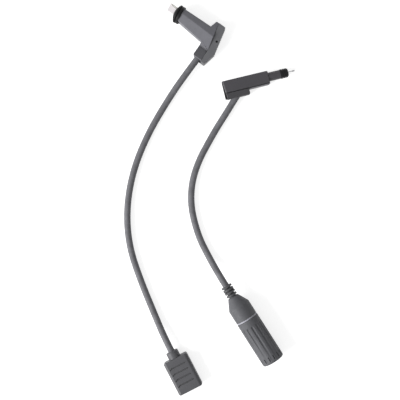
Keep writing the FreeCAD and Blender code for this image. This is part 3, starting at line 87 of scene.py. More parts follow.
# Angled head, mm in its unit: a zone starts where the vertices or faces to change lie
BARREL_END = 18.9
BARREL_ZONE = 17.9
BARREL_PROUD = 0.6
TONGUE_ZONE = 25.4
TONGUE_TRIM = 0.6
PLATEAU_FOOT = (8.1, 2.466)
THUMB_ZONE = (7.9, 1.5)
THUMB_DROP = 0.9
COVER_BACK = ((-10.5, -7.9), (7.4, -12.5))

# Ribbed ring of the angled head: mm along and from its own axis, and its tilts in degrees
RING_SET_BACK = 0.5
RING_SKEW = 8.0
RING_LEAN = 5.0
SEAL_BACK = 0.6
SEAL_BACK_RIB = (0.65, 2.35)
SEAL_GROOVE = (2.4, 2.7)
SEAL_FRONT_RIB = (2.75, 4.0)
SEAL_STEP = (4.05, 4.2)
SEAL_SHOULDER = (4.4, 5.1)
SEAL_FRONT = 5.4
SEAL_BORE_R = 0.9
SEAL_NOSE_R = 3.1
SEAL_STEP_R = 5.35
SEAL_GROOVE_R = 5.2
SEAL_FRONT_RIB_R = 5.98
SEAL_BACK_RIB_R = 5.84

# Straight head, mm in its unit
CASE_HALF_WIDTH = 3.87
CASE_TOP = 3.3
BOSS_EDGE = 8.1
BOSS_TOP = 2.75
BOSS_END = 16.65
BOSS_TRIM = 0.5
BOSS_ZONE = (14.65, 17.65)
BOSS_ZONE_EDGE = -4.5
LEDGE_START = -4.3
SEAM_ZONE = 0.6
CAP_LINE = ((CASE_HALF_WIDTH, 0.2), (-BOSS_EDGE, 1.2))
REAR_CHAMFER = 1.0
REAR_SLOPE = 0.55
CAP_DROP = 0.75

# Nose of the straight head, mm in its unit
TUBE_SEAT = 1.35
NOSE_R = 2.85
NOSE_START = 30.05
NOSE_END = 38.35
NOSE_NECK_R = 1.85
NOSE_FLANGE = (27.55, 28.5)
NOSE_FLANGE_R = 2.2

# Black tip sleeve over the nose, mm in the straight head's unit
TIP_LIP = 37.75
TIP_WALL = 39.6
TIP_FRONT = 43.1
TIP_R = 3.05
TIP_SEAT = 2.88
TIP_BORE_R = 0.55
TIP_ROUNDING = 1.9
TIP_GROOVES = ((39.3, 39.7), (40.65, 41.05))
TIP_GROOVE_R = 2.6

# Needle spring, mm in the straight head's unit
SPRING_SPAN = (23.5, 36.95)
SPRING_MIDDLE = 0.2
SPRING_R = 0.7
WIRE_R = 0.13
WIRE_SIDES = 8
SPRING_TURNS = 14
TURN_STEPS = 20

# Socket, mm in its unit
SOCKET_HALF_WIDTH = 8.2
SOCKET_TOP = 4.4
MOUTH_ZONE = 22.35
MOUTH_TRIM = 0.35
SHELL_ZONE = 22.85
SHELL_TRIM = 0.85
SIDE_CHAMFER = 1.75
SIDE_SLOPE = 0.8

# Collar of the socket's cable, mm in the socket's unit
COLLAR_BACK = -4.55
COLLAR_R = 3.975
COLLAR_NECK_R = 2.45
COLLAR_FLANGE = (1.55, 2.55)
COLLAR_FLANGE_R = 2.9
COLLAR_STOP = -1.35

# Strain relief boot, mm in the connector's unit
BOOT_BACK = -24.1
BOOT_STOP = -18.1
BOOT_SEAT_R = 2.5
BOOT_NECK_R = 2.45
BOOT_PITCH = 2.025
BOOT_RINGS = 4
BOOT_RING_WIDTH = 1.25
BOOT_CREST = 3.55
BOOT_WAIST = 2.4
BRIDGE = 0.95
BRIDGE_SPAN = (-21.2, -19.8)
BRIDGE_HALF_ANGLE = 0.62

# Cone behind the coupling, mm in the connector's unit
CONE_BACK = -16.0
CONE_BACK_R = 3.6
CONE_SHOULDER = -8.9
CONE_R = 7.3
CONE_WALL = (-14.0, -7.0)
CONE_BORE_R = 1.4
CONE_MOUTH_R = 2.55
SHELL_SEAT = 4.95

# Pale ring, mm in the connector's unit
PALE_THICK = 1.0
PALE_R = 7.25

# Fluted sleeve, mm in the connector's unit
SLEEVE_START = 1.15
SLEEVE_FLANGE_END = 7.55
SLEEVE_END = 32.35
SLEEVE_R = 7.4
SLEEVE_BORE_R = 5.9
FLUTES = 14
FLUTE_SPAN = (6.3, 29.6)
FLUTE_HALF_WIDTH = 0.85
FLUTE_DEPTH = 0.5
FLUTE_FADE = (14.0, 28.0)
FLUTE_LOSS = 0.65
NOTCH_SPAN = (27.9, 30.3)
NOTCH_HALF_WIDTH = 0.42
NOTCH_DEPTH = 0.55

# What counts as an edge: turns in degrees, areas in square metres
FLAT_TURN = 0.6
CRISP_TURN = 30.0
SHALLOW_TURN = 7.0
ROUNDED_TURN = 12.0
TURNED_CREASE = 32.0
BROAD_FACE = 3.0e-6
ROUNDED_FACE = 2.5e-6
SAME_PLACE = 2.0e-6

# Rounding of the edges: bevel widths, and radii in mm of the small ribs and grooves
BODY_ROUNDING = 0.3 * MM
CASE_ROUNDING = 0.15 * MM
TONGUE_ROUNDING = 0.12 * MM
CAP_ROUNDING = 0.1 * MM
SHELL_ROUNDING = 0.05 * MM
BLADE_ROUNDING = 0.04 * MM
RIB_ROUNDING = 0.3
GROOVE_ROUNDING = 0.12

# Fineness of the turned pieces: sides round the axis, and parts of a rounded corner
SIDES_ROUND = 96
SIDES_PER_FLUTE = 24
CORNER_PARTS = 6

# Grains of the finishes, as noise scales per metre, and their depths in metres
FLOW_MARKS = 160.0
GLOSS_PATCHES = 420.0
MOULD_GRAIN = 5200.0
MOULD_GRAIN_DEPTH = 0.00004
RUBBER_PATCHES = 300.0
RUBBER_GLOSS = 700.0
RUBBER_SKIN = 3800.0
RUBBER_SKIN_DEPTH = 0.00005
TURNING_MARKS = 900.0
BOARD_TRACKS = 320.0
FINE_DEPTH = 0.00003
EDGE_WEAR_REACH = 0.35 * MM
# Reach of the painted shade that ambient occlusion lays in grooves and inner corners
MOULD_SHADE_REACH = 1.2 * MM
RUBBER_SHADE_REACH = 1.5 * MM

# Light: strengths, and the lamp's place, aim, size and power in metres and watts
SKY_FILL = 0.39
BENCH_GLOW = 0.68
BENCH_HALF = 3.0
KEY_PLACE = (-0.86, -0.34, 0.50)
KEY_AIM = (-0.02, 0.0, 0.0)
KEY_SIZE = 0.6
KEY_POWER = 14.4

# Colours, as linear values
ANGLED_GREY = (0.150, 0.150, 0.168)
COVER_GREY = (0.108, 0.109, 0.117)
# The thumb rest's top is a darker copy of the body's grey: painted shade, as if turned away
# from the lamp
THUMB_SHADE_GREY = (0.100, 0.100, 0.110)
# The boss is a darker copy of the straight case's grey: painted shade
BOSS_SHADE_GREY = (0.030, 0.029, 0.033)
# The ledge is a lighter copy of the straight case's grey: painted light, as where it catches
# the lamp
LEDGE_LIT_GREY = (0.150, 0.147, 0.162)
STRAIGHT_GREY = (0.038, 0.036, 0.042)
SOCKET_GREY = (0.071, 0.071, 0.078)
COUPLING_GREY = (0.086, 0.087, 0.095)
CABLE_GREY = (0.130, 0.130, 0.140)
BOOT_GREY = (0.060, 0.061, 0.066)
RUBBER_BLACK = (0.005, 0.005, 0.006)
TONGUE_PALE = (0.920, 0.880, 0.895)
RING_PALE = (0.330, 0.330, 0.370)
STEEL = (0.36, 0.36, 0.37)
# Near-black screw head: painted shade, so that the sunk screw reads as a dark hole
SCREW_HOLE_SHADE = (0.030, 0.030, 0.032)
NICKEL = (0.560, 0.550, 0.520)
GOLD = (0.720, 0.500, 0.200)
BOARD_GREEN = (0.020, 0.110, 0.050)
BOARD_SHADE = (0.016, 0.090, 0.042)
TRACK_GREEN = (0.050, 0.200, 0.100)
INSULATOR_WHITE = (0.760, 0.750, 0.720)
PART_BROWN = (0.300, 0.180, 0.070)
WORN_GREY = (0.5, 0.5, 0.5)
# Colour of the painted shade in grooves and inner corners
RECESS_SHADE_BLACK = (0.004, 0.004, 0.005)


# Materials

def new_material(name):
    """A new material with its node tree and its shader."""
    material = bpy.data.materials.new(name)
    material.use_nodes = True
    tree = material.node_tree
    shader = tree.nodes["Principled BSDF"]
    return material, tree, shader


def noise(tree, scale, detail=3.0, roughness=0.5, stretch=None):
    """Noise in the object's own coordinates, scaled per metre."""
    place = tree.nodes.new("ShaderNodeTexCoord")
    source = place.outputs["Object"]
    if stretch:
        mapping = tree.nodes.new("ShaderNodeMapping")
        mapping.inputs["Rotation"].default_value = (0.0, 0.0, math.radians(stretch[0]))
        mapping.inputs["Scale"].default_value = stretch[1]
        tree.links.new(source, mapping.inputs["Vector"])
        source = mapping.outputs["Vector"]
    texture = tree.nodes.new("ShaderNodeTexNoise")
    texture.inputs["Scale"].default_value = scale
    texture.inputs["Detail"].default_value = detail
    texture.inputs["Roughness"].default_value = roughness
    tree.links.new(source, texture.inputs["Vector"])
    return texture.outputs["Fac"]


def remap(tree, value, low, high):
    """Stretches the middle of a noise to a range."""
    node = tree.nodes.new("ShaderNodeMapRange")
    node.inputs["From Min"].default_value = 0.3
    node.inputs["From Max"].default_value = 0.7
    node.inputs["To Min"].default_value = low
    node.inputs["To Max"].default_value = high
    tree.links.new(value, node.inputs["Value"])
    return node.outputs["Result"]


def colour_ramp(tree, value, low, high):
    """Blends from the low (place, colour) to the high one as the value grows."""
    ramp = tree.nodes.new("ShaderNodeValToRGB")
    for element, (position, colour) in zip(ramp.color_ramp.elements, (low, high)):
        element.position = position
        element.color = (*colour, 1.0)
    tree.links.new(value, ramp.inputs["Fac"])
    return ramp.outputs["Color"]


def varied_colour(tree, value, colour, darker, lighter):
    """Colour that drifts between a darker and a lighter tone of itself."""
    dark = [channel * darker for channel in colour]
    light = [min(channel * lighter, 1.0) for channel in colour]
    return colour_ramp(tree, value, (0.3, dark), (0.7, light))


def blend_towards(tree, colour, mask, target):
    """Mixes a colour with a plain one where the mask is light."""
    mix = tree.nodes.new("ShaderNodeMix")
    mix.data_type = "RGBA"
    mix.inputs["B"].default_value = (*target, 1.0)
    tree.links.new(mask, mix.inputs["Factor"])
    tree.links.new(colour, mix.inputs["A"])
    return mix.outputs["Result"]


def worn_edges(tree, colour, amount):
    """Lightens the handled edges of a moulding a little."""
    geometry = tree.nodes.new("ShaderNodeNewGeometry")
    rounded = tree.nodes.new("ShaderNodeBevel")
    rounded.samples = 6
    rounded.inputs["Radius"].default_value = EDGE_WEAR_REACH
    alike = tree.nodes.new("ShaderNodeVectorMath")
    alike.operation = "DOT_PRODUCT"
    tree.links.new(geometry.outputs["Normal"], alike.inputs[0])
    tree.links.new(rounded.outputs["Normal"], alike.inputs[1])
    worn = colour_ramp(tree, alike.outputs["Value"], (0.86, [amount] * 3), (0.985, [0.0] * 3))
    return blend_towards(tree, colour, worn, WORN_GREY)


def painted_recess_shade(tree, colour, reach, depth):
    """Painted shade: darkens grooves and inner corners by ambient occlusion, where little light
    comes.
    """
    hollow = tree.nodes.new("ShaderNodeAmbientOcclusion")
    hollow.only_local = True
    hollow.samples = 8
    hollow.inputs["Distance"].default_value = reach
    shade_mask = colour_ramp(tree, hollow.outputs["AO"], (0.35, [depth] * 3), (0.85, [0.0] * 3))
    return blend_towards(tree, colour, shade_mask, RECESS_SHADE_BLACK)


def bump(tree, shader, height, strength, distance):
    """Fine relief from a texture's height."""
    node = tree.nodes.new("ShaderNodeBump")
    node.inputs["Strength"].default_value = strength
    node.inputs["Distance"].default_value = distance
    tree.links.new(height, node.inputs["Height"])
    tree.links.new(node.outputs["Normal"], shader.inputs["Normal"])


def moulded(name, colour, rough=0.5, grain=0.35, wear=0.12, sheen=0.5, recess_shade=0.8):
    """Satin moulded plastic with spark-eroded grain, faint flow marks and painted shade in its
    recesses.
    """
    material, tree, shader = new_material(name)
    tint = varied_colour(tree, noise(tree, FLOW_MARKS, 4.0), colour, 0.93, 1.07)
    if wear:
        tint = worn_edges(tree, tint, wear)
    # Painted shade: grooves and inner corners darkened by ambient occlusion
    if recess_shade:
        tint = painted_recess_shade(tree, tint, MOULD_SHADE_REACH, recess_shade)
    tree.links.new(tint, shader.inputs["Base Color"])
    shader.inputs["Specular IOR Level"].default_value = sheen
    gloss = remap(tree, noise(tree, GLOSS_PATCHES, 2.0), rough - 0.06, rough + 0.07)
    tree.links.new(gloss, shader.inputs["Roughness"])
    bump(tree, shader, noise(tree, MOULD_GRAIN, 2.0), grain, MOULD_GRAIN_DEPTH)
    return material


def rubber(name, colour, rough=0.62, grain=0.3, sheen=0.5):
    """Matte rubber with a fine skin, and painted shade in its grooves."""
    material, tree, shader = new_material(name)
    tint = varied_colour(tree, noise(tree, RUBBER_PATCHES, 4.0), colour, 0.88, 1.2)
    # Painted shade: grooves and gaps darkened by ambient occlusion
    tint = painted_recess_shade(tree, tint, RUBBER_SHADE_REACH, 0.9)
    tree.links.new(tint, shader.inputs["Base Color"])
    gloss = remap(tree, noise(tree, RUBBER_GLOSS, 3.0), rough - 0.08, rough + 0.1)
    tree.links.new(gloss, shader.inputs["Roughness"])
    shader.inputs["Specular IOR Level"].default_value = sheen
    bump(tree, shader, noise(tree, RUBBER_SKIN, 3.0), grain, RUBBER_SKIN_DEPTH)
    return material


def metal(name, colour, rough=0.3, heading=0.0):
    """Bright metal with fine turning or drawing marks across its axis."""
    material, tree, shader = new_material(name)
    marks = noise(tree, TURNING_MARKS, 3.0, 0.6, (heading, (9.0, 1.0, 1.0)))
    tint = varied_colour(tree, marks, colour, 0.86, 1.1)
    tree.links.new(tint, shader.inputs["Base Color"])
    tree.links.new(remap(tree, marks, rough - 0.08, rough + 0.12), shader.inputs["Roughness"])
    shader.inputs["Metallic"].default_value = 1.0
    bump(tree, shader, marks, 0.12, FINE_DEPTH)
    return material


def circuit_board(name, heading):
    """Solder mask over a grid of lighter tracks."""
    material, tree, shader = new_material(name)
    place = tree.nodes.new("ShaderNodeTexCoord")
    mapping = tree.nodes.new("ShaderNodeMapping")
    mapping.inputs["Rotation"].default_value = (0.0, 0.0, math.radians(-heading))
    brick = tree.nodes.new("ShaderNodeTexBrick")
    brick.inputs["Scale"].default_value = BOARD_TRACKS
    brick.inputs["Mortar Size"].default_value = 0.03
    brick.inputs["Color1"].default_value = (*BOARD_GREEN, 1.0)
    brick.inputs["Color2"].default_value = (*BOARD_SHADE, 1.0)
    brick.inputs["Mortar"].default_value = (*TRACK_GREEN, 1.0)
    tree.links.new(place.outputs["Object"], mapping.inputs["Vector"])
    tree.links.new(mapping.outputs["Vector"], brick.inputs["Vector"])
    tree.links.new(brick.outputs["Color"], shader.inputs["Base Color"])
    shader.inputs["Roughness"].default_value = 0.35
    bump(tree, shader, brick.outputs["Fac"], 0.2, FINE_DEPTH)
    return material


# Pieces

def dress_node(name, material):
    """Gives a CAD node its finish."""
    node = bpy.data.objects[name]
    for slot in node.material_slots:
        slot.material = material
    if not node.material_slots:
        node.data.materials.append(material)


def between(points, y):
    """The x at y on the straight line through two (y, x) points."""
    (y0, x0), (y1, x1) = points
    return x0 + (x1 - x0) * (y - y0) / (y1 - y0)


def unit_matrix(unit, along=0.0, turn=0.0, lean=0.0):
    """From mm in a unit to metres on the bench, moved along, turned or leaning if asked."""
    x, y, z, heading = unit
    place = Matrix.Translation((x * MM, y * MM, z * MM))
    place = place @ Matrix.Rotation(math.radians(heading), 4, "Z")
    place = place @ Matrix.Translation((along * MM, 0.0, 0.0))
    shear = Matrix.Identity(4)
    shear[0][2] = math.tan(math.radians(lean))
    return place @ Matrix.Rotation(math.radians(turn), 4, "Z") @ shear @ Matrix.Scale(MM, 4)


def finish_piece(mesh, node_name, body):
    """Puts a mesh in the scene in place of its CAD node."""
    piece = bpy.data.objects.new(f"{node_name}_finished", mesh)
    bpy.context.collection.objects.link(piece)
    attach(piece, body)
    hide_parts(node_name)
    return piece


def mark_creases(work):
    """Keeps the crisp edges crisp: steep ones, and shallow ones between broad faces."""
    for edge in work.edges:
        turn = math.degrees(edge.calc_face_angle(0.0))
        broad = all(face.calc_area() > BROAD_FACE for face in edge.link_faces)
        edge.smooth = not (turn > CRISP_TURN or turn > SHALLOW_TURN and broad)


def weigh_edges(work, width):
    """Picks the edges that the bevel rounds: long ones between broad faces."""
    weight = work.edges.layers.float.new("bevel_weight_edge")
    for edge in work.edges:
        turn = math.degrees(edge.calc_face_angle(0.0))
        broad = all(face.calc_area() > ROUNDED_FACE for face in edge.link_faces)
        long = edge.calc_length() > width * 5
        edge[weight] = 1.0 if broad and long and turn > ROUNDED_TURN else 0.0


def add_rounding(piece, width):
    """Rounds the weighted edges, and shades the broad faces as flat as they are."""
    bevel = piece.modifiers.new("edges", "BEVEL")
    bevel.width = width
    bevel.segments = 3
    bevel.limit_method = "WEIGHT"
    bevel.use_clamp_overlap = False
    normals = piece.modifiers.new("normals", "WEIGHTED_NORMAL")
    normals.keep_sharp = True
    normals.weight = 100


def softened(node_name, width, material, shape=None, also=()):
    """A copy of a CAD piece with rounded edges, reshaped where a shape function is given.

    The faces for which a test in also is true take the finish beside it."""
    mesh = bpy.data.objects[node_name].data.copy()
    mesh.materials.clear()
    mesh.materials.append(material)
    work = bmesh.new()
    work.from_mesh(mesh)
    bmesh.ops.remove_doubles(work, verts=work.verts, dist=SAME_PLACE)
    bmesh.ops.dissolve_limit(work, angle_limit=math.radians(FLAT_TURN), verts=work.verts,
                             edges=work.edges)
    for face in work.faces:
        face.material_index = 0
        face.smooth = True
    if shape:
        shape(work)
    for index, (finish, belongs) in enumerate(also, 1):
        mesh.materials.append(finish)
        for face in work.faces:
            if belongs(face):
                face.material_index = index
    mark_creases(work)
    weigh_edges(work, width)
    work.to_mesh(mesh)
    work.free()
    add_rounding(finish_piece(mesh, node_name, LEADS), width)


def cut_lines(work, unit, lines):
    """Cuts the faces of a mesh along upright planes through (x, y)-(x, y) lines of a unit."""
    place = unit_matrix(unit)
    for (x0, y0), (x1, y1) in lines:
        start = place @ Vector((x0, y0, 0.0))
        way = place.to_3x3() @ Vector((x1 - x0, y1 - y0, 0.0))
        normal = way.cross(Vector((0.0, 0.0, 1.0))).normalized()
        bmesh.ops.bisect_plane(work, geom=work.verts[:] + work.edges[:] + work.faces[:],
                               plane_co=start, plane_no=normal, dist=1e-7)


def press_down(work, unit, limit):
    """Lowers every vertex that stands further from the unit's plane than its limit."""
    place = unit_matrix(unit)
    back = place.inverted()
    for vertex in work.verts:
        x, y, z = back @ vertex.co
        most = limit(x, y)
        if abs(z) > most:
            vertex.co = place @ Vector((x, y, math.copysign(most, z)))


def draw_back(work, unit, trim):
    """Moves vertices back along the unit's axis by the trim at their place."""
    place = unit_matrix(unit)
    back = place.inverted()
    for vertex in work.verts:
        x, y, z = back @ vertex.co
        vertex.co = place @ Vector((x - trim(x, y), y, z))


def shape_angled_body(work):
    """Fits the barrel to the ring, deepens the thumb rest, tucks the screw lug in."""
    place = unit_matrix(ANGLED_UNIT)
    back = place.inverted()
    foot_y, foot_z = PLATEAU_FOOT
    for vertex in work.verts:
        x, y, z = back @ vertex.co
        if x > BARREL_ZONE:
            x += BARREL_PROUD
        if abs(y - foot_y) < 0.1 and abs(z - foot_z) < 0.1:
            z -= THUMB_DROP
        x = max(x, between(COVER_BACK, y))
        vertex.co = place @ Vector((x, y, z))


def is_thumb_rest(face):
    """The recessed end of the block, seen from above, coloured darker as painted shade."""
    x, y, z = unit_matrix(ANGLED_UNIT).inverted() @ face.calc_center_median()
    side, height = THUMB_ZONE
    return y > side and z > height and face.normal.z > 0.3


def shape_tongue(work):
    """Tongue and blades end together, a little behind the CAD tip."""
    draw_back(work, ANGLED_UNIT, lambda x, y: TONGUE_TRIM if x > TONGUE_ZONE else 0.0)


def shape_metal_shell(work):
    """The shell ends inside the mouth, so that no metal shows from above."""
    draw_back(work, SOCKET_UNIT, lambda x, y: SHELL_TRIM if x > SHELL_ZONE else 0.0)


def is_boss(face):
    """The flat boss beside the straight case, coloured darker as painted shade."""
    x, y, z = unit_matrix(STRAIGHT_UNIT).inverted() @ face.calc_center_median()
    return y < -CASE_HALF_WIDTH - 0.05 and abs(z) > SEAM_ZONE


def is_ledge(face):
    """The narrow ledge along the case, between the boss and the nose, coloured lighter as
    painted light.
    """
    x, y, z = unit_matrix(STRAIGHT_UNIT).inverted() @ face.calc_center_median()
    return x > BOSS_END and y < LEDGE_START and z > SEAM_ZONE


def shape_case(work):
    """Shortens the boss, and slopes the rear edge, which catches the light at the dark cap."""
    def trim(x, y):
        """The boss ends earlier; the ledge and the valley beside it stay."""
        at_end = BOSS_ZONE[0] < x < BOSS_ZONE[1] and y < BOSS_ZONE_EDGE
        return BOSS_TRIM if at_end else 0.0

    draw_back(work, STRAIGHT_UNIT, trim)
    (y0, x0), (y1, x1) = CAP_LINE
    cut_lines(work, STRAIGHT_UNIT, [
        ((BOSS_END, -BOSS_EDGE), (BOSS_END, 0.0)),
        ((x0 + REAR_CHAMFER, y0), (x1 + REAR_CHAMFER, y1)),
    ])

    def limit(x, y):
        """Height of the case's top, which falls towards the cap."""
        if y < -CASE_HALF_WIDTH - 0.01:
            return BOSS_TOP
        return CASE_TOP - max(0.0, between(CAP_LINE, y) + REAR_CHAMFER - x) * REAR_SLOPE

    press_down(work, STRAIGHT_UNIT, limit)


def shape_cap(work):
    """End cap that lies behind the sloping edge."""
    press_down(work, STRAIGHT_UNIT,
               lambda x, y: (CASE_TOP if y > -CASE_HALF_WIDTH else BOSS_TOP) - CAP_DROP)


def shape_socket(work):
    """Broad chamfers along both sides, and a slightly shorter mouth."""
    draw_back(work, SOCKET_UNIT, lambda x, y: MOUTH_TRIM if x > MOUTH_ZONE else 0.0)
    inner = SOCKET_HALF_WIDTH - SIDE_CHAMFER
    cut_lines(work, SOCKET_UNIT, [((0.0, inner), (1.0, inner)), ((0.0, -inner), (1.0, -inner))])
    press_down(work, SOCKET_UNIT,
               lambda x, y: SOCKET_TOP - max(0.0, abs(y) - inner) * SIDE_SLOPE)


# Turned pieces

def rounded_profile(points, step=None):
    """Closed outline of (x, radius, rounding) points, with its corners rounded.

    A step cuts its long sides into parts of about that length."""
    out = []
    count = len(points)
    for index, (x, r, *more) in enumerate(points):
        corner = Vector((x, r))
        size = more[0] if more else 0.0
        if not size:
            out.append(corner)
            continue
        before = (Vector(points[index - 1][:2]) - corner).normalized()
        after = (Vector(points[(index + 1) % count][:2]) - corner).normalized()
        half = before.angle(after) / 2
        reach = size / math.tan(half)
        start = corner + before * reach
        end = corner + after * reach
        for part in range(CORNER_PARTS + 1):
            t = part / CORNER_PARTS
            out.append((1 - t) ** 2 * start + 2 * t * (1 - t) * corner + t * t * end)
    if not step:
        return out
    fine = []
    for a, b in zip(out, out[1:] + out[:1]):
        parts = max(1, round((b - a).length / step))
        fine += [a.lerp(b, part / parts) for part in range(parts)]
    return fine


def turned(node_name, place, points, material, body=LEADS, around=SIDES_ROUND,
           relief=None, step=None):
    """A lathe-turned piece: its outline goes round the x axis of its place."""
    outline = rounded_profile(points, step)
    work = bmesh.new()
    rings = []
    for x, r in outline:
        ring = []
        for index in range(around):
            angle = 2 * math.pi * index / around
            radius = r - relief(x, r, angle) if relief else r
            ring.append(work.verts.new(place @ Vector((x, radius * math.cos(angle),
                                                       radius * math.sin(angle)))))
        rings.append(ring)
    for a, b in zip(rings, rings[1:] + rings[:1]):
        for index in range(around):
            after = (index + 1) % around
            work.faces.new((a[index], a[after], b[after], b[index]))
    bmesh.ops.recalc_face_normals(work, faces=work.faces)
    for face in work.faces:
        face.smooth = True
    for edge in work.edges:
        edge.smooth = edge.calc_face_angle(0.0) < math.radians(TURNED_CREASE)
    mesh = bpy.data.meshes.new(f"{node_name}_turned")
    mesh.materials.append(material)
    work.to_mesh(mesh)
    work.free()
    finish_piece(mesh, node_name, body)


def groove(x, arc, span, half_width, depth):
    """Depth of a round-ended groove at a distance from its middle line."""
    first, last = span
    beyond = max(first - x, 0.0, x - last)
    away = math.hypot(beyond, arc) / half_width
    return depth * (1 - away * away) ** 0.75 if away < 1 else 0.0


def boot_relief(x, r, angle):
    """Side bridges across the middle gap of the boot (a negative relief adds material)."""
    first, last = BRIDGE_SPAN
    if not first < x < last or not BOOT_WAIST - 0.15 < r < BOOT_WAIST + 0.3:
        return 0.0
    away = abs((angle + math.pi / 2) % math.pi - math.pi / 2) / BRIDGE_HALF_ANGLE
    return -BRIDGE * (1 - away ** 4) if away < 1 else 0.0


def sleeve_relief(x, r, angle):
    """Long flutes round the sleeve and short notches between them at its mouth.

    The bore follows them, so that the wall stays even; the flange inside is plain."""
    if r < SLEEVE_BORE_R:
        return 0.0
    pitch = 2 * math.pi / FLUTES
    arc = ((angle - math.pi / 2 + pitch / 2) % pitch - pitch / 2) * SLEEVE_R
    gap = ((angle - math.pi / 2) % pitch - pitch / 2) * SLEEVE_R
    fade = min(1.0, max(0.0, (x - FLUTE_FADE[0]) / (FLUTE_FADE[1] - FLUTE_FADE[0])))
    depth = FLUTE_DEPTH * (1 - FLUTE_LOSS * fade * fade * (3 - 2 * fade))
    return (groove(x, arc, FLUTE_SPAN, FLUTE_HALF_WIDTH, depth)
            + groove(x, gap, NOTCH_SPAN, NOTCH_HALF_WIDTH, NOTCH_DEPTH))


def boot_rings():
    """Outline of the boot's rings, from the last one back to the first."""
    points = []
    for index in reversed(range(BOOT_RINGS)):
        low = BOOT_BACK + BOOT_PITCH * index
        high = low + BOOT_RING_WIDTH
        points += [(high, BOOT_WAIST, GROOVE_ROUNDING), (high, BOOT_CREST, RIB_ROUNDING),
                   (low, BOOT_CREST, RIB_ROUNDING), (low, BOOT_WAIST, GROOVE_ROUNDING)]
    return points


def tip_grooves():
    """Outline of the tip sleeve's grooves, from the front one back."""
    points = []
    for low, high in reversed(TIP_GROOVES):
        points += [(high, TIP_R, GROOVE_ROUNDING), (high, TIP_GROOVE_R),
                   (low, TIP_GROOVE_R), (low, TIP_R, GROOVE_ROUNDING)]
    return points


def cable(name, node_name, route, material):
    """A free cable: one smooth line along its route."""
    curve = bpy.data.curves.new(name, "CURVE")
    curve.dimensions = "3D"
    curve.resolution_u = 24
    curve.bevel_depth = CABLE_D / 2
    curve.bevel_resolution = 8
    curve.use_fill_caps = True
    spline = curve.splines.new("NURBS")
    spline.points.add(len(route) - 1)
    for point, place in zip(spline.points, route):
        point.co = (*[value * MM for value in place], 1.0)
    spline.order_u = 3
    spline.use_endpoint_u = True
    curve.materials.append(material)
    piece = bpy.data.objects.new(name, curve)
    bpy.context.collection.objects.link(piece)
    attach(piece, LEADS)
    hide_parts(node_name)
    line_length(curve)


def line_length(curve):
    """Length of the cable's own line."""
    thin = curve.copy()
    thin.bevel_depth = 0.0
    holder = bpy.data.objects.new("line", thin)
    bpy.context.collection.objects.link(holder)
    mesh = bpy.data.meshes.new_from_object(holder)
    points = [vertex.co for vertex in mesh.vertices]
    bpy.data.objects.remove(holder)
    bpy.data.meshes.remove(mesh)
    bpy.data.curves.remove(thin)
    return sum((b - a).length for a, b in zip(points, points[1:]))


# Stage

def camera():
    """Looks straight down, as wide as the photograph at the height of the view plane."""
    data = bpy.data.cameras.new("camera")
    data.sensor_fit = "HORIZONTAL"
    data.angle = 2 * math.atan(VIEW_WIDTH / 2 / (CAMERA_HEIGHT - VIEW_PLANE))
    data.clip_start = 0.01
    data.clip_end = 10.0
    holder = bpy.data.objects.new("camera", data)
    holder.location = (*VIEW_CENTRE, CAMERA_HEIGHT)
    bpy.context.collection.objects.link(holder)
    bpy.context.scene.camera = holder


def key_light():
    """One broad soft lamp from the left, a little in front."""
    data = bpy.data.lights.new("key", "AREA")
    data.shape = "SQUARE"
    data.size = KEY_SIZE
    data.energy = KEY_POWER
    holder = bpy.data.objects.new("key", data)
    holder.location = KEY_PLACE
    way = Vector(KEY_AIM) - Vector(KEY_PLACE)
    holder.rotation_euler = way.to_track_quat("-Z", "Y").to_euler()
    bpy.context.collection.objects.link(holder)


def background_strength(tree, unseen, shown):
    """One strength as a light, and another where the picture or a reflection shows it."""
    paths = tree.nodes.new("ShaderNodeLightPath")
    seen = paths.outputs["Is Camera Ray"]
    for way in ("Is Glossy Ray", "Is Transmission Ray"):
        most = tree.nodes.new("ShaderNodeMath")
        most.operation = "MAXIMUM"
        tree.links.new(seen, most.inputs[0])
        tree.links.new(paths.outputs[way], most.inputs[1])
        seen = most.outputs["Value"]
    level = tree.nodes.new("ShaderNodeMapRange")
    level.inputs["To Min"].default_value = unseen
    level.inputs["To Max"].default_value = shown
    tree.links.new(seen, level.inputs["Value"])
    return level.outputs["Result"]


def floor_material():
    """White in the picture, but shaded by the object as a plain pale bench is."""
    material, tree, shader = new_material("bench_white")
    shader.inputs["Base Color"].default_value = (0.8, 0.8, 0.8, 1.0)
    shader.inputs["Roughness"].default_value = 0.9
    shader.inputs["Specular IOR Level"].default_value = 0.0
    output = tree.nodes["Material Output"]
    glow = tree.nodes.new("ShaderNodeEmission")
    glow.inputs["Color"].default_value = (1.0, 1.0, 1.0, 1.0)
    tree.links.new(background_strength(tree, 0.0, BENCH_GLOW), glow.inputs["Strength"])
    both = tree.nodes.new("ShaderNodeAddShader")
    tree.links.new(shader.outputs["BSDF"], both.inputs[0])
    tree.links.new(glow.outputs["Emission"], both.inputs[1])
    tree.links.new(both.outputs["Shader"], output.inputs["Surface"])
    return material


def floor():
    """The bench, far wider than the picture."""
    mesh = bpy.data.meshes.new("bench")
    half = BENCH_HALF
    mesh.from_pydata([(-half, -half, 0), (half, -half, 0), (half, half, 0), (-half, half, 0)],
                     [], [(0, 1, 2, 3)])
    mesh.materials.append(floor_material())
    bench = bpy.data.objects.new("bench", mesh)
    bpy.context.collection.objects.link(bench)


def sky():
    """Even soft fill, white where the picture or a reflection looks past the bench."""
    world = bpy.data.worlds.new("sky")
    bpy.context.scene.world = world
    world.use_nodes = True
    tree = world.node_tree
    background = tree.nodes["Background"]
    background.inputs["Color"].default_value = (1.0, 1.0, 1.0, 1.0)
    tree.links.new(background_strength(tree, SKY_FILL, 1.0), background.inputs["Strength"])


def stage():
    """Camera, bench, fill and lamp."""
    bpy.context.scene.view_settings.view_transform = "Standard"
    camera()
    floor()
    sky()
    key_light()


# Finishes and pieces of the two leads

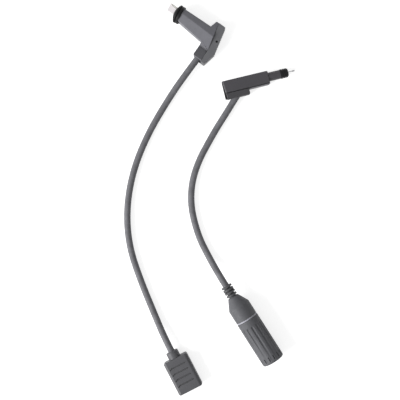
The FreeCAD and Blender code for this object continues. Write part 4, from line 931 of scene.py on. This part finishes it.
def materials():
    """Every finish, by the name that the pieces use."""
    return {
        "angled": moulded("angled_plastic", ANGLED_GREY, 0.6),
        "cover": moulded("cover_plastic", COVER_GREY, 0.6),
        # Thumb rest: rougher grain, and a darker grey as painted shade
        "thumb": moulded("thumb_rest", THUMB_SHADE_GREY, 0.7, 0.6),
        "straight": moulded("straight_plastic", STRAIGHT_GREY, 0.5),
        "boss": moulded("boss_painted_shade", BOSS_SHADE_GREY, 0.5),
        "ledge": moulded("ledge_painted_light", LEDGE_LIT_GREY, 0.5),
        "socket": moulded("socket_plastic", SOCKET_GREY, 0.48),
        "coupling": moulded("coupling_plastic", COUPLING_GREY, 0.6, 0.35, 0.12, 0.4),
        "boot": rubber("boot_rubber", BOOT_GREY, 0.6),
        "black": rubber("seal_rubber", RUBBER_BLACK, 0.5, 0.3, 0.2),
        "cable": rubber("cable_jacket", CABLE_GREY, 0.65, 0.15, 0.35),
        "tongue": moulded("tongue_plastic", TONGUE_PALE, 0.45, 0.2, 0.0),
        "ring": moulded("ring_plastic", RING_PALE, 0.4, 0.2, 0.0),
        "steel": metal("steel", STEEL, 0.28, -ANGLED_HEADING),
        "dark_steel": metal("screw_steel_painted_shade", SCREW_HOLE_SHADE, 0.4, -ANGLED_HEADING),
        "nickel": metal("nickel_plate", NICKEL, 0.25, -CONNECTOR_HEADING),
        "gold": metal("gold_plate", GOLD, 0.25, -SOCKET_HEADING),
        "board": circuit_board("board_mask", STRAIGHT_HEADING),
        "white": moulded("white_insulator", INSULATOR_WHITE, 0.35, 0.1, 0.0),
        "part": moulded("part_body", PART_BROWN, 0.35, 0.1, 0.0),
    }


def inner_pieces(looks):
    """Finishes of the nodes that keep their CAD shape."""
    finishes = {
        # The screw head is near-black as painted shade in its hole
        "dark_steel": ("cover_screw",),
        "steel": ("retaining_clip", "probe_needle"),
        "nickel": ("connector_shell",),
        "gold": ("socket_contact_1", "socket_contact_2", "socket_contact_3", "socket_contact_4",
                 "socket_ferrule", "angled_cable_clamp", "needle_barrel", "head_cable_ferrule",
                 "centre_contact", "connector_ferrule"),
        "board": ("angled_head_board", "head_board"),
        "part": ("angled_head_resistor", "angled_head_capacitor", "trimmer_capacitor",
                 "head_resistor"),
        "white": ("angled_cable_core", "socket_cable_core", "head_cable_core", "connector_core",
                  "connector_insulator"),
        "black": ("socket_tongue", "coupling_gasket"),
    }
    for look, nodes in finishes.items():
        for node in nodes:
            dress_node(node, looks[look])


def tip_ring(looks):
    """Ribbed rubber ring, a little out of square with the barrel."""
    place = unit_matrix(ANGLED_UNIT, BARREL_END - RING_SET_BACK, RING_SKEW, RING_LEAN)
    step_back, step_front = SEAL_STEP
    front_rib_back, front_rib_front = SEAL_FRONT_RIB
    groove_back, groove_front = SEAL_GROOVE
    back_rib_back, back_rib_front = SEAL_BACK_RIB
    turned("tip_seal_ring", place, [
        (SEAL_FRONT, SEAL_BORE_R), (SEAL_FRONT, SEAL_NOSE_R, 0.3), (*SEAL_SHOULDER, 0.5),
        (step_front, SEAL_STEP_R, 0.2), (step_back, SEAL_STEP_R, 0.1),
        (front_rib_front, SEAL_FRONT_RIB_R, 0.4), (front_rib_back, SEAL_FRONT_RIB_R, 0.35),
        (groove_front, SEAL_GROOVE_R, 0.1), (groove_back, SEAL_GROOVE_R, 0.1),
        (back_rib_front, SEAL_BACK_RIB_R, 0.35), (back_rib_back, SEAL_BACK_RIB_R, 0.35),
        (SEAL_BACK, SEAL_BORE_R),
    ], looks["black"])


def needle_coil(looks):
    """The needle's spring as wound, at rest; the real spring's turns close up as the needle is
    pressed.
    """
    place = unit_matrix(STRAIGHT_UNIT)
    first, last = SPRING_SPAN
    steps = SPRING_TURNS * TURN_STEPS
    work = bmesh.new()
    rings = []
    for step in range(steps + 1):
        angle = 2 * math.pi * step / TURN_STEPS
        x = first + WIRE_R + (last - first - 2 * WIRE_R) * step / steps
        out = Vector((0.0, math.cos(angle), math.sin(angle)))
        middle = Vector((x, SPRING_MIDDLE, 0.0)) + SPRING_R * out
        way = Vector(((last - first) / steps, 0.0, 0.0))
        way += SPRING_R * 2 * math.pi / TURN_STEPS * Vector((0.0, -out.z, out.y))
        side = way.cross(out).normalized()
        ring = []
        for part in range(WIRE_SIDES):
            turn = 2 * math.pi * part / WIRE_SIDES
            point = middle + WIRE_R * (math.cos(turn) * out + math.sin(turn) * side)
            ring.append(work.verts.new(place @ point))
        rings.append(ring)
    for a, b in zip(rings, rings[1:]):
        for part in range(WIRE_SIDES):
            after = (part + 1) % WIRE_SIDES
            work.faces.new((a[part], a[after], b[after], b[part]))
    work.faces.new(rings[0])
    work.faces.new(rings[-1])
    bmesh.ops.recalc_face_normals(work, faces=work.faces)
    for face in work.faces:
        face.smooth = len(face.verts) == 4
    mesh = bpy.data.meshes.new("needle_coil")
    mesh.materials.append(looks["steel"])
    work.to_mesh(mesh)
    work.free()
    piece = finish_piece(mesh, "needle_spring", LEADS)
    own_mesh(piece)


def angled_lead(looks):
    """The lead with the T-shaped head and the rectangular socket."""
    softened("angled_head_body", BODY_ROUNDING, looks["angled"],
             shape_angled_body, [(looks["thumb"], is_thumb_rest)])
    softened("angled_head_cover", BODY_ROUNDING, looks["cover"])
    tip_ring(looks)
    softened("contact_carrier", TONGUE_ROUNDING, looks["tongue"],
             shape_tongue)
    for blade in ("contact_blade_upper", "contact_blade_lower"):
        softened(blade, BLADE_ROUNDING, looks["nickel"], shape_tongue)
    for half in ("socket_housing_upper", "socket_housing_lower"):
        softened(half, CASE_ROUNDING, looks["socket"], shape_socket)
    softened("socket_metal_shell", SHELL_ROUNDING, looks["nickel"],
             shape_metal_shell)
    flange_start, flange_end = COLLAR_FLANGE
    turned("socket_collar", unit_matrix(SOCKET_UNIT), [
        (COLLAR_STOP, CABLE_SEAT), (COLLAR_STOP, CORE_SEAT), (flange_end, CORE_SEAT),
        (flange_end, COLLAR_FLANGE_R, 0.1), (flange_start, COLLAR_FLANGE_R),
        (flange_start, COLLAR_NECK_R), (0.0, COLLAR_NECK_R), (0.0, COLLAR_R, 0.15),
        (COLLAR_BACK, COLLAR_R, 0.6), (COLLAR_BACK, CABLE_SEAT, 0.15),
    ], looks["socket"])
    cable("angled_cable_line", "angled_cable", ANGLED_ROUTE, looks["cable"])


def straight_head(looks):
    """Flat case with its boss and ledge, end cap, needle spring, nose and tip sleeve."""
    # The boss takes painted shade and the ledge painted light, as darker and lighter copies of
    # the case's grey
    for half in ("head_case_upper", "head_case_lower"):
        softened(half, CASE_ROUNDING, looks["straight"], shape_case,
                 [(looks["boss"], is_boss), (looks["ledge"], is_ledge)])
    softened("head_end_cap", CAP_ROUNDING, looks["black"], shape_cap)
    needle_coil(looks)
    place = unit_matrix(STRAIGHT_UNIT)
    flange_start, flange_end = NOSE_FLANGE
    turned("head_nose", place, [
        (NOSE_END, TUBE_SEAT), (NOSE_END, NOSE_R, 0.25), (NOSE_START, NOSE_R, 0.1),
        (NOSE_START, NOSE_NECK_R), (flange_end, NOSE_NECK_R), (flange_end, NOSE_FLANGE_R),
        (flange_start, NOSE_FLANGE_R), (flange_start, TUBE_SEAT),
    ], looks["straight"])
    turned("tip_sleeve", place, [
        (TIP_WALL, TUBE_SEAT), (TIP_WALL, TIP_BORE_R), (TIP_FRONT, TIP_BORE_R),
        (TIP_FRONT, TIP_R, TIP_ROUNDING), *tip_grooves(), (TIP_LIP, TIP_R, GROOVE_ROUNDING),
        (TIP_LIP, TIP_SEAT), (NOSE_END, TIP_SEAT), (NOSE_END, TUBE_SEAT),
    ], looks["black"])


def connector(looks):
    """Ribbed boot, cone, pale ring and fluted sleeve, all round one axis."""
    place = unit_matrix(CONNECTOR_UNIT)
    wall_back, wall_front = CONE_WALL
    turned("strain_relief", place, [
        (BOOT_STOP, CABLE_SEAT), (BOOT_STOP, CORE_SEAT), (wall_back, CORE_SEAT),
        (wall_back, BOOT_SEAT_R), (CONE_BACK, BOOT_SEAT_R), (CONE_BACK, BOOT_NECK_R),
        *boot_rings(), (BOOT_BACK, CABLE_SEAT),
    ], looks["boot"], relief=boot_relief, step=0.3)
    turned("connector_backshell", place, [
        (wall_back, CONE_MOUTH_R), (wall_back, CONE_BORE_R), (wall_front, CONE_BORE_R),
        (wall_front, SHELL_SEAT), (0.0, SHELL_SEAT), (0.0, CONE_R, 0.3),
        (CONE_SHOULDER, CONE_R, 2.5), (CONE_BACK, CONE_BACK_R, 0.4),
        (CONE_BACK, CONE_MOUTH_R),
    ], looks["coupling"], step=0.6)
    turned("connector_ring", place, [
        (0.0, SHELL_SEAT), (PALE_THICK, SHELL_SEAT), (PALE_THICK, PALE_R, 0.2),
        (0.0, PALE_R, 0.2),
    ], looks["ring"])
    turned("coupling_sleeve", place, [
        (SLEEVE_FLANGE_END, SHELL_SEAT), (SLEEVE_FLANGE_END, SLEEVE_BORE_R),
        (SLEEVE_END, SLEEVE_BORE_R, 0.2), (SLEEVE_END, SLEEVE_R, 1.3),
        (SLEEVE_START, SLEEVE_R, 0.3), (SLEEVE_START, SHELL_SEAT),
    ], looks["coupling"], COUPLING, FLUTES * SIDES_PER_FLUTE,
        relief=sleeve_relief, step=0.4)


def straight_lead(looks):
    """The lead with the needle head and the round coupling."""
    straight_head(looks)
    connector(looks)
    cable("straight_cable_line", "straight_cable", STRAIGHT_ROUTE, looks["cable"])


stage()
looks = materials()
inner_pieces(looks)
angled_lead(looks)
straight_lead(looks)
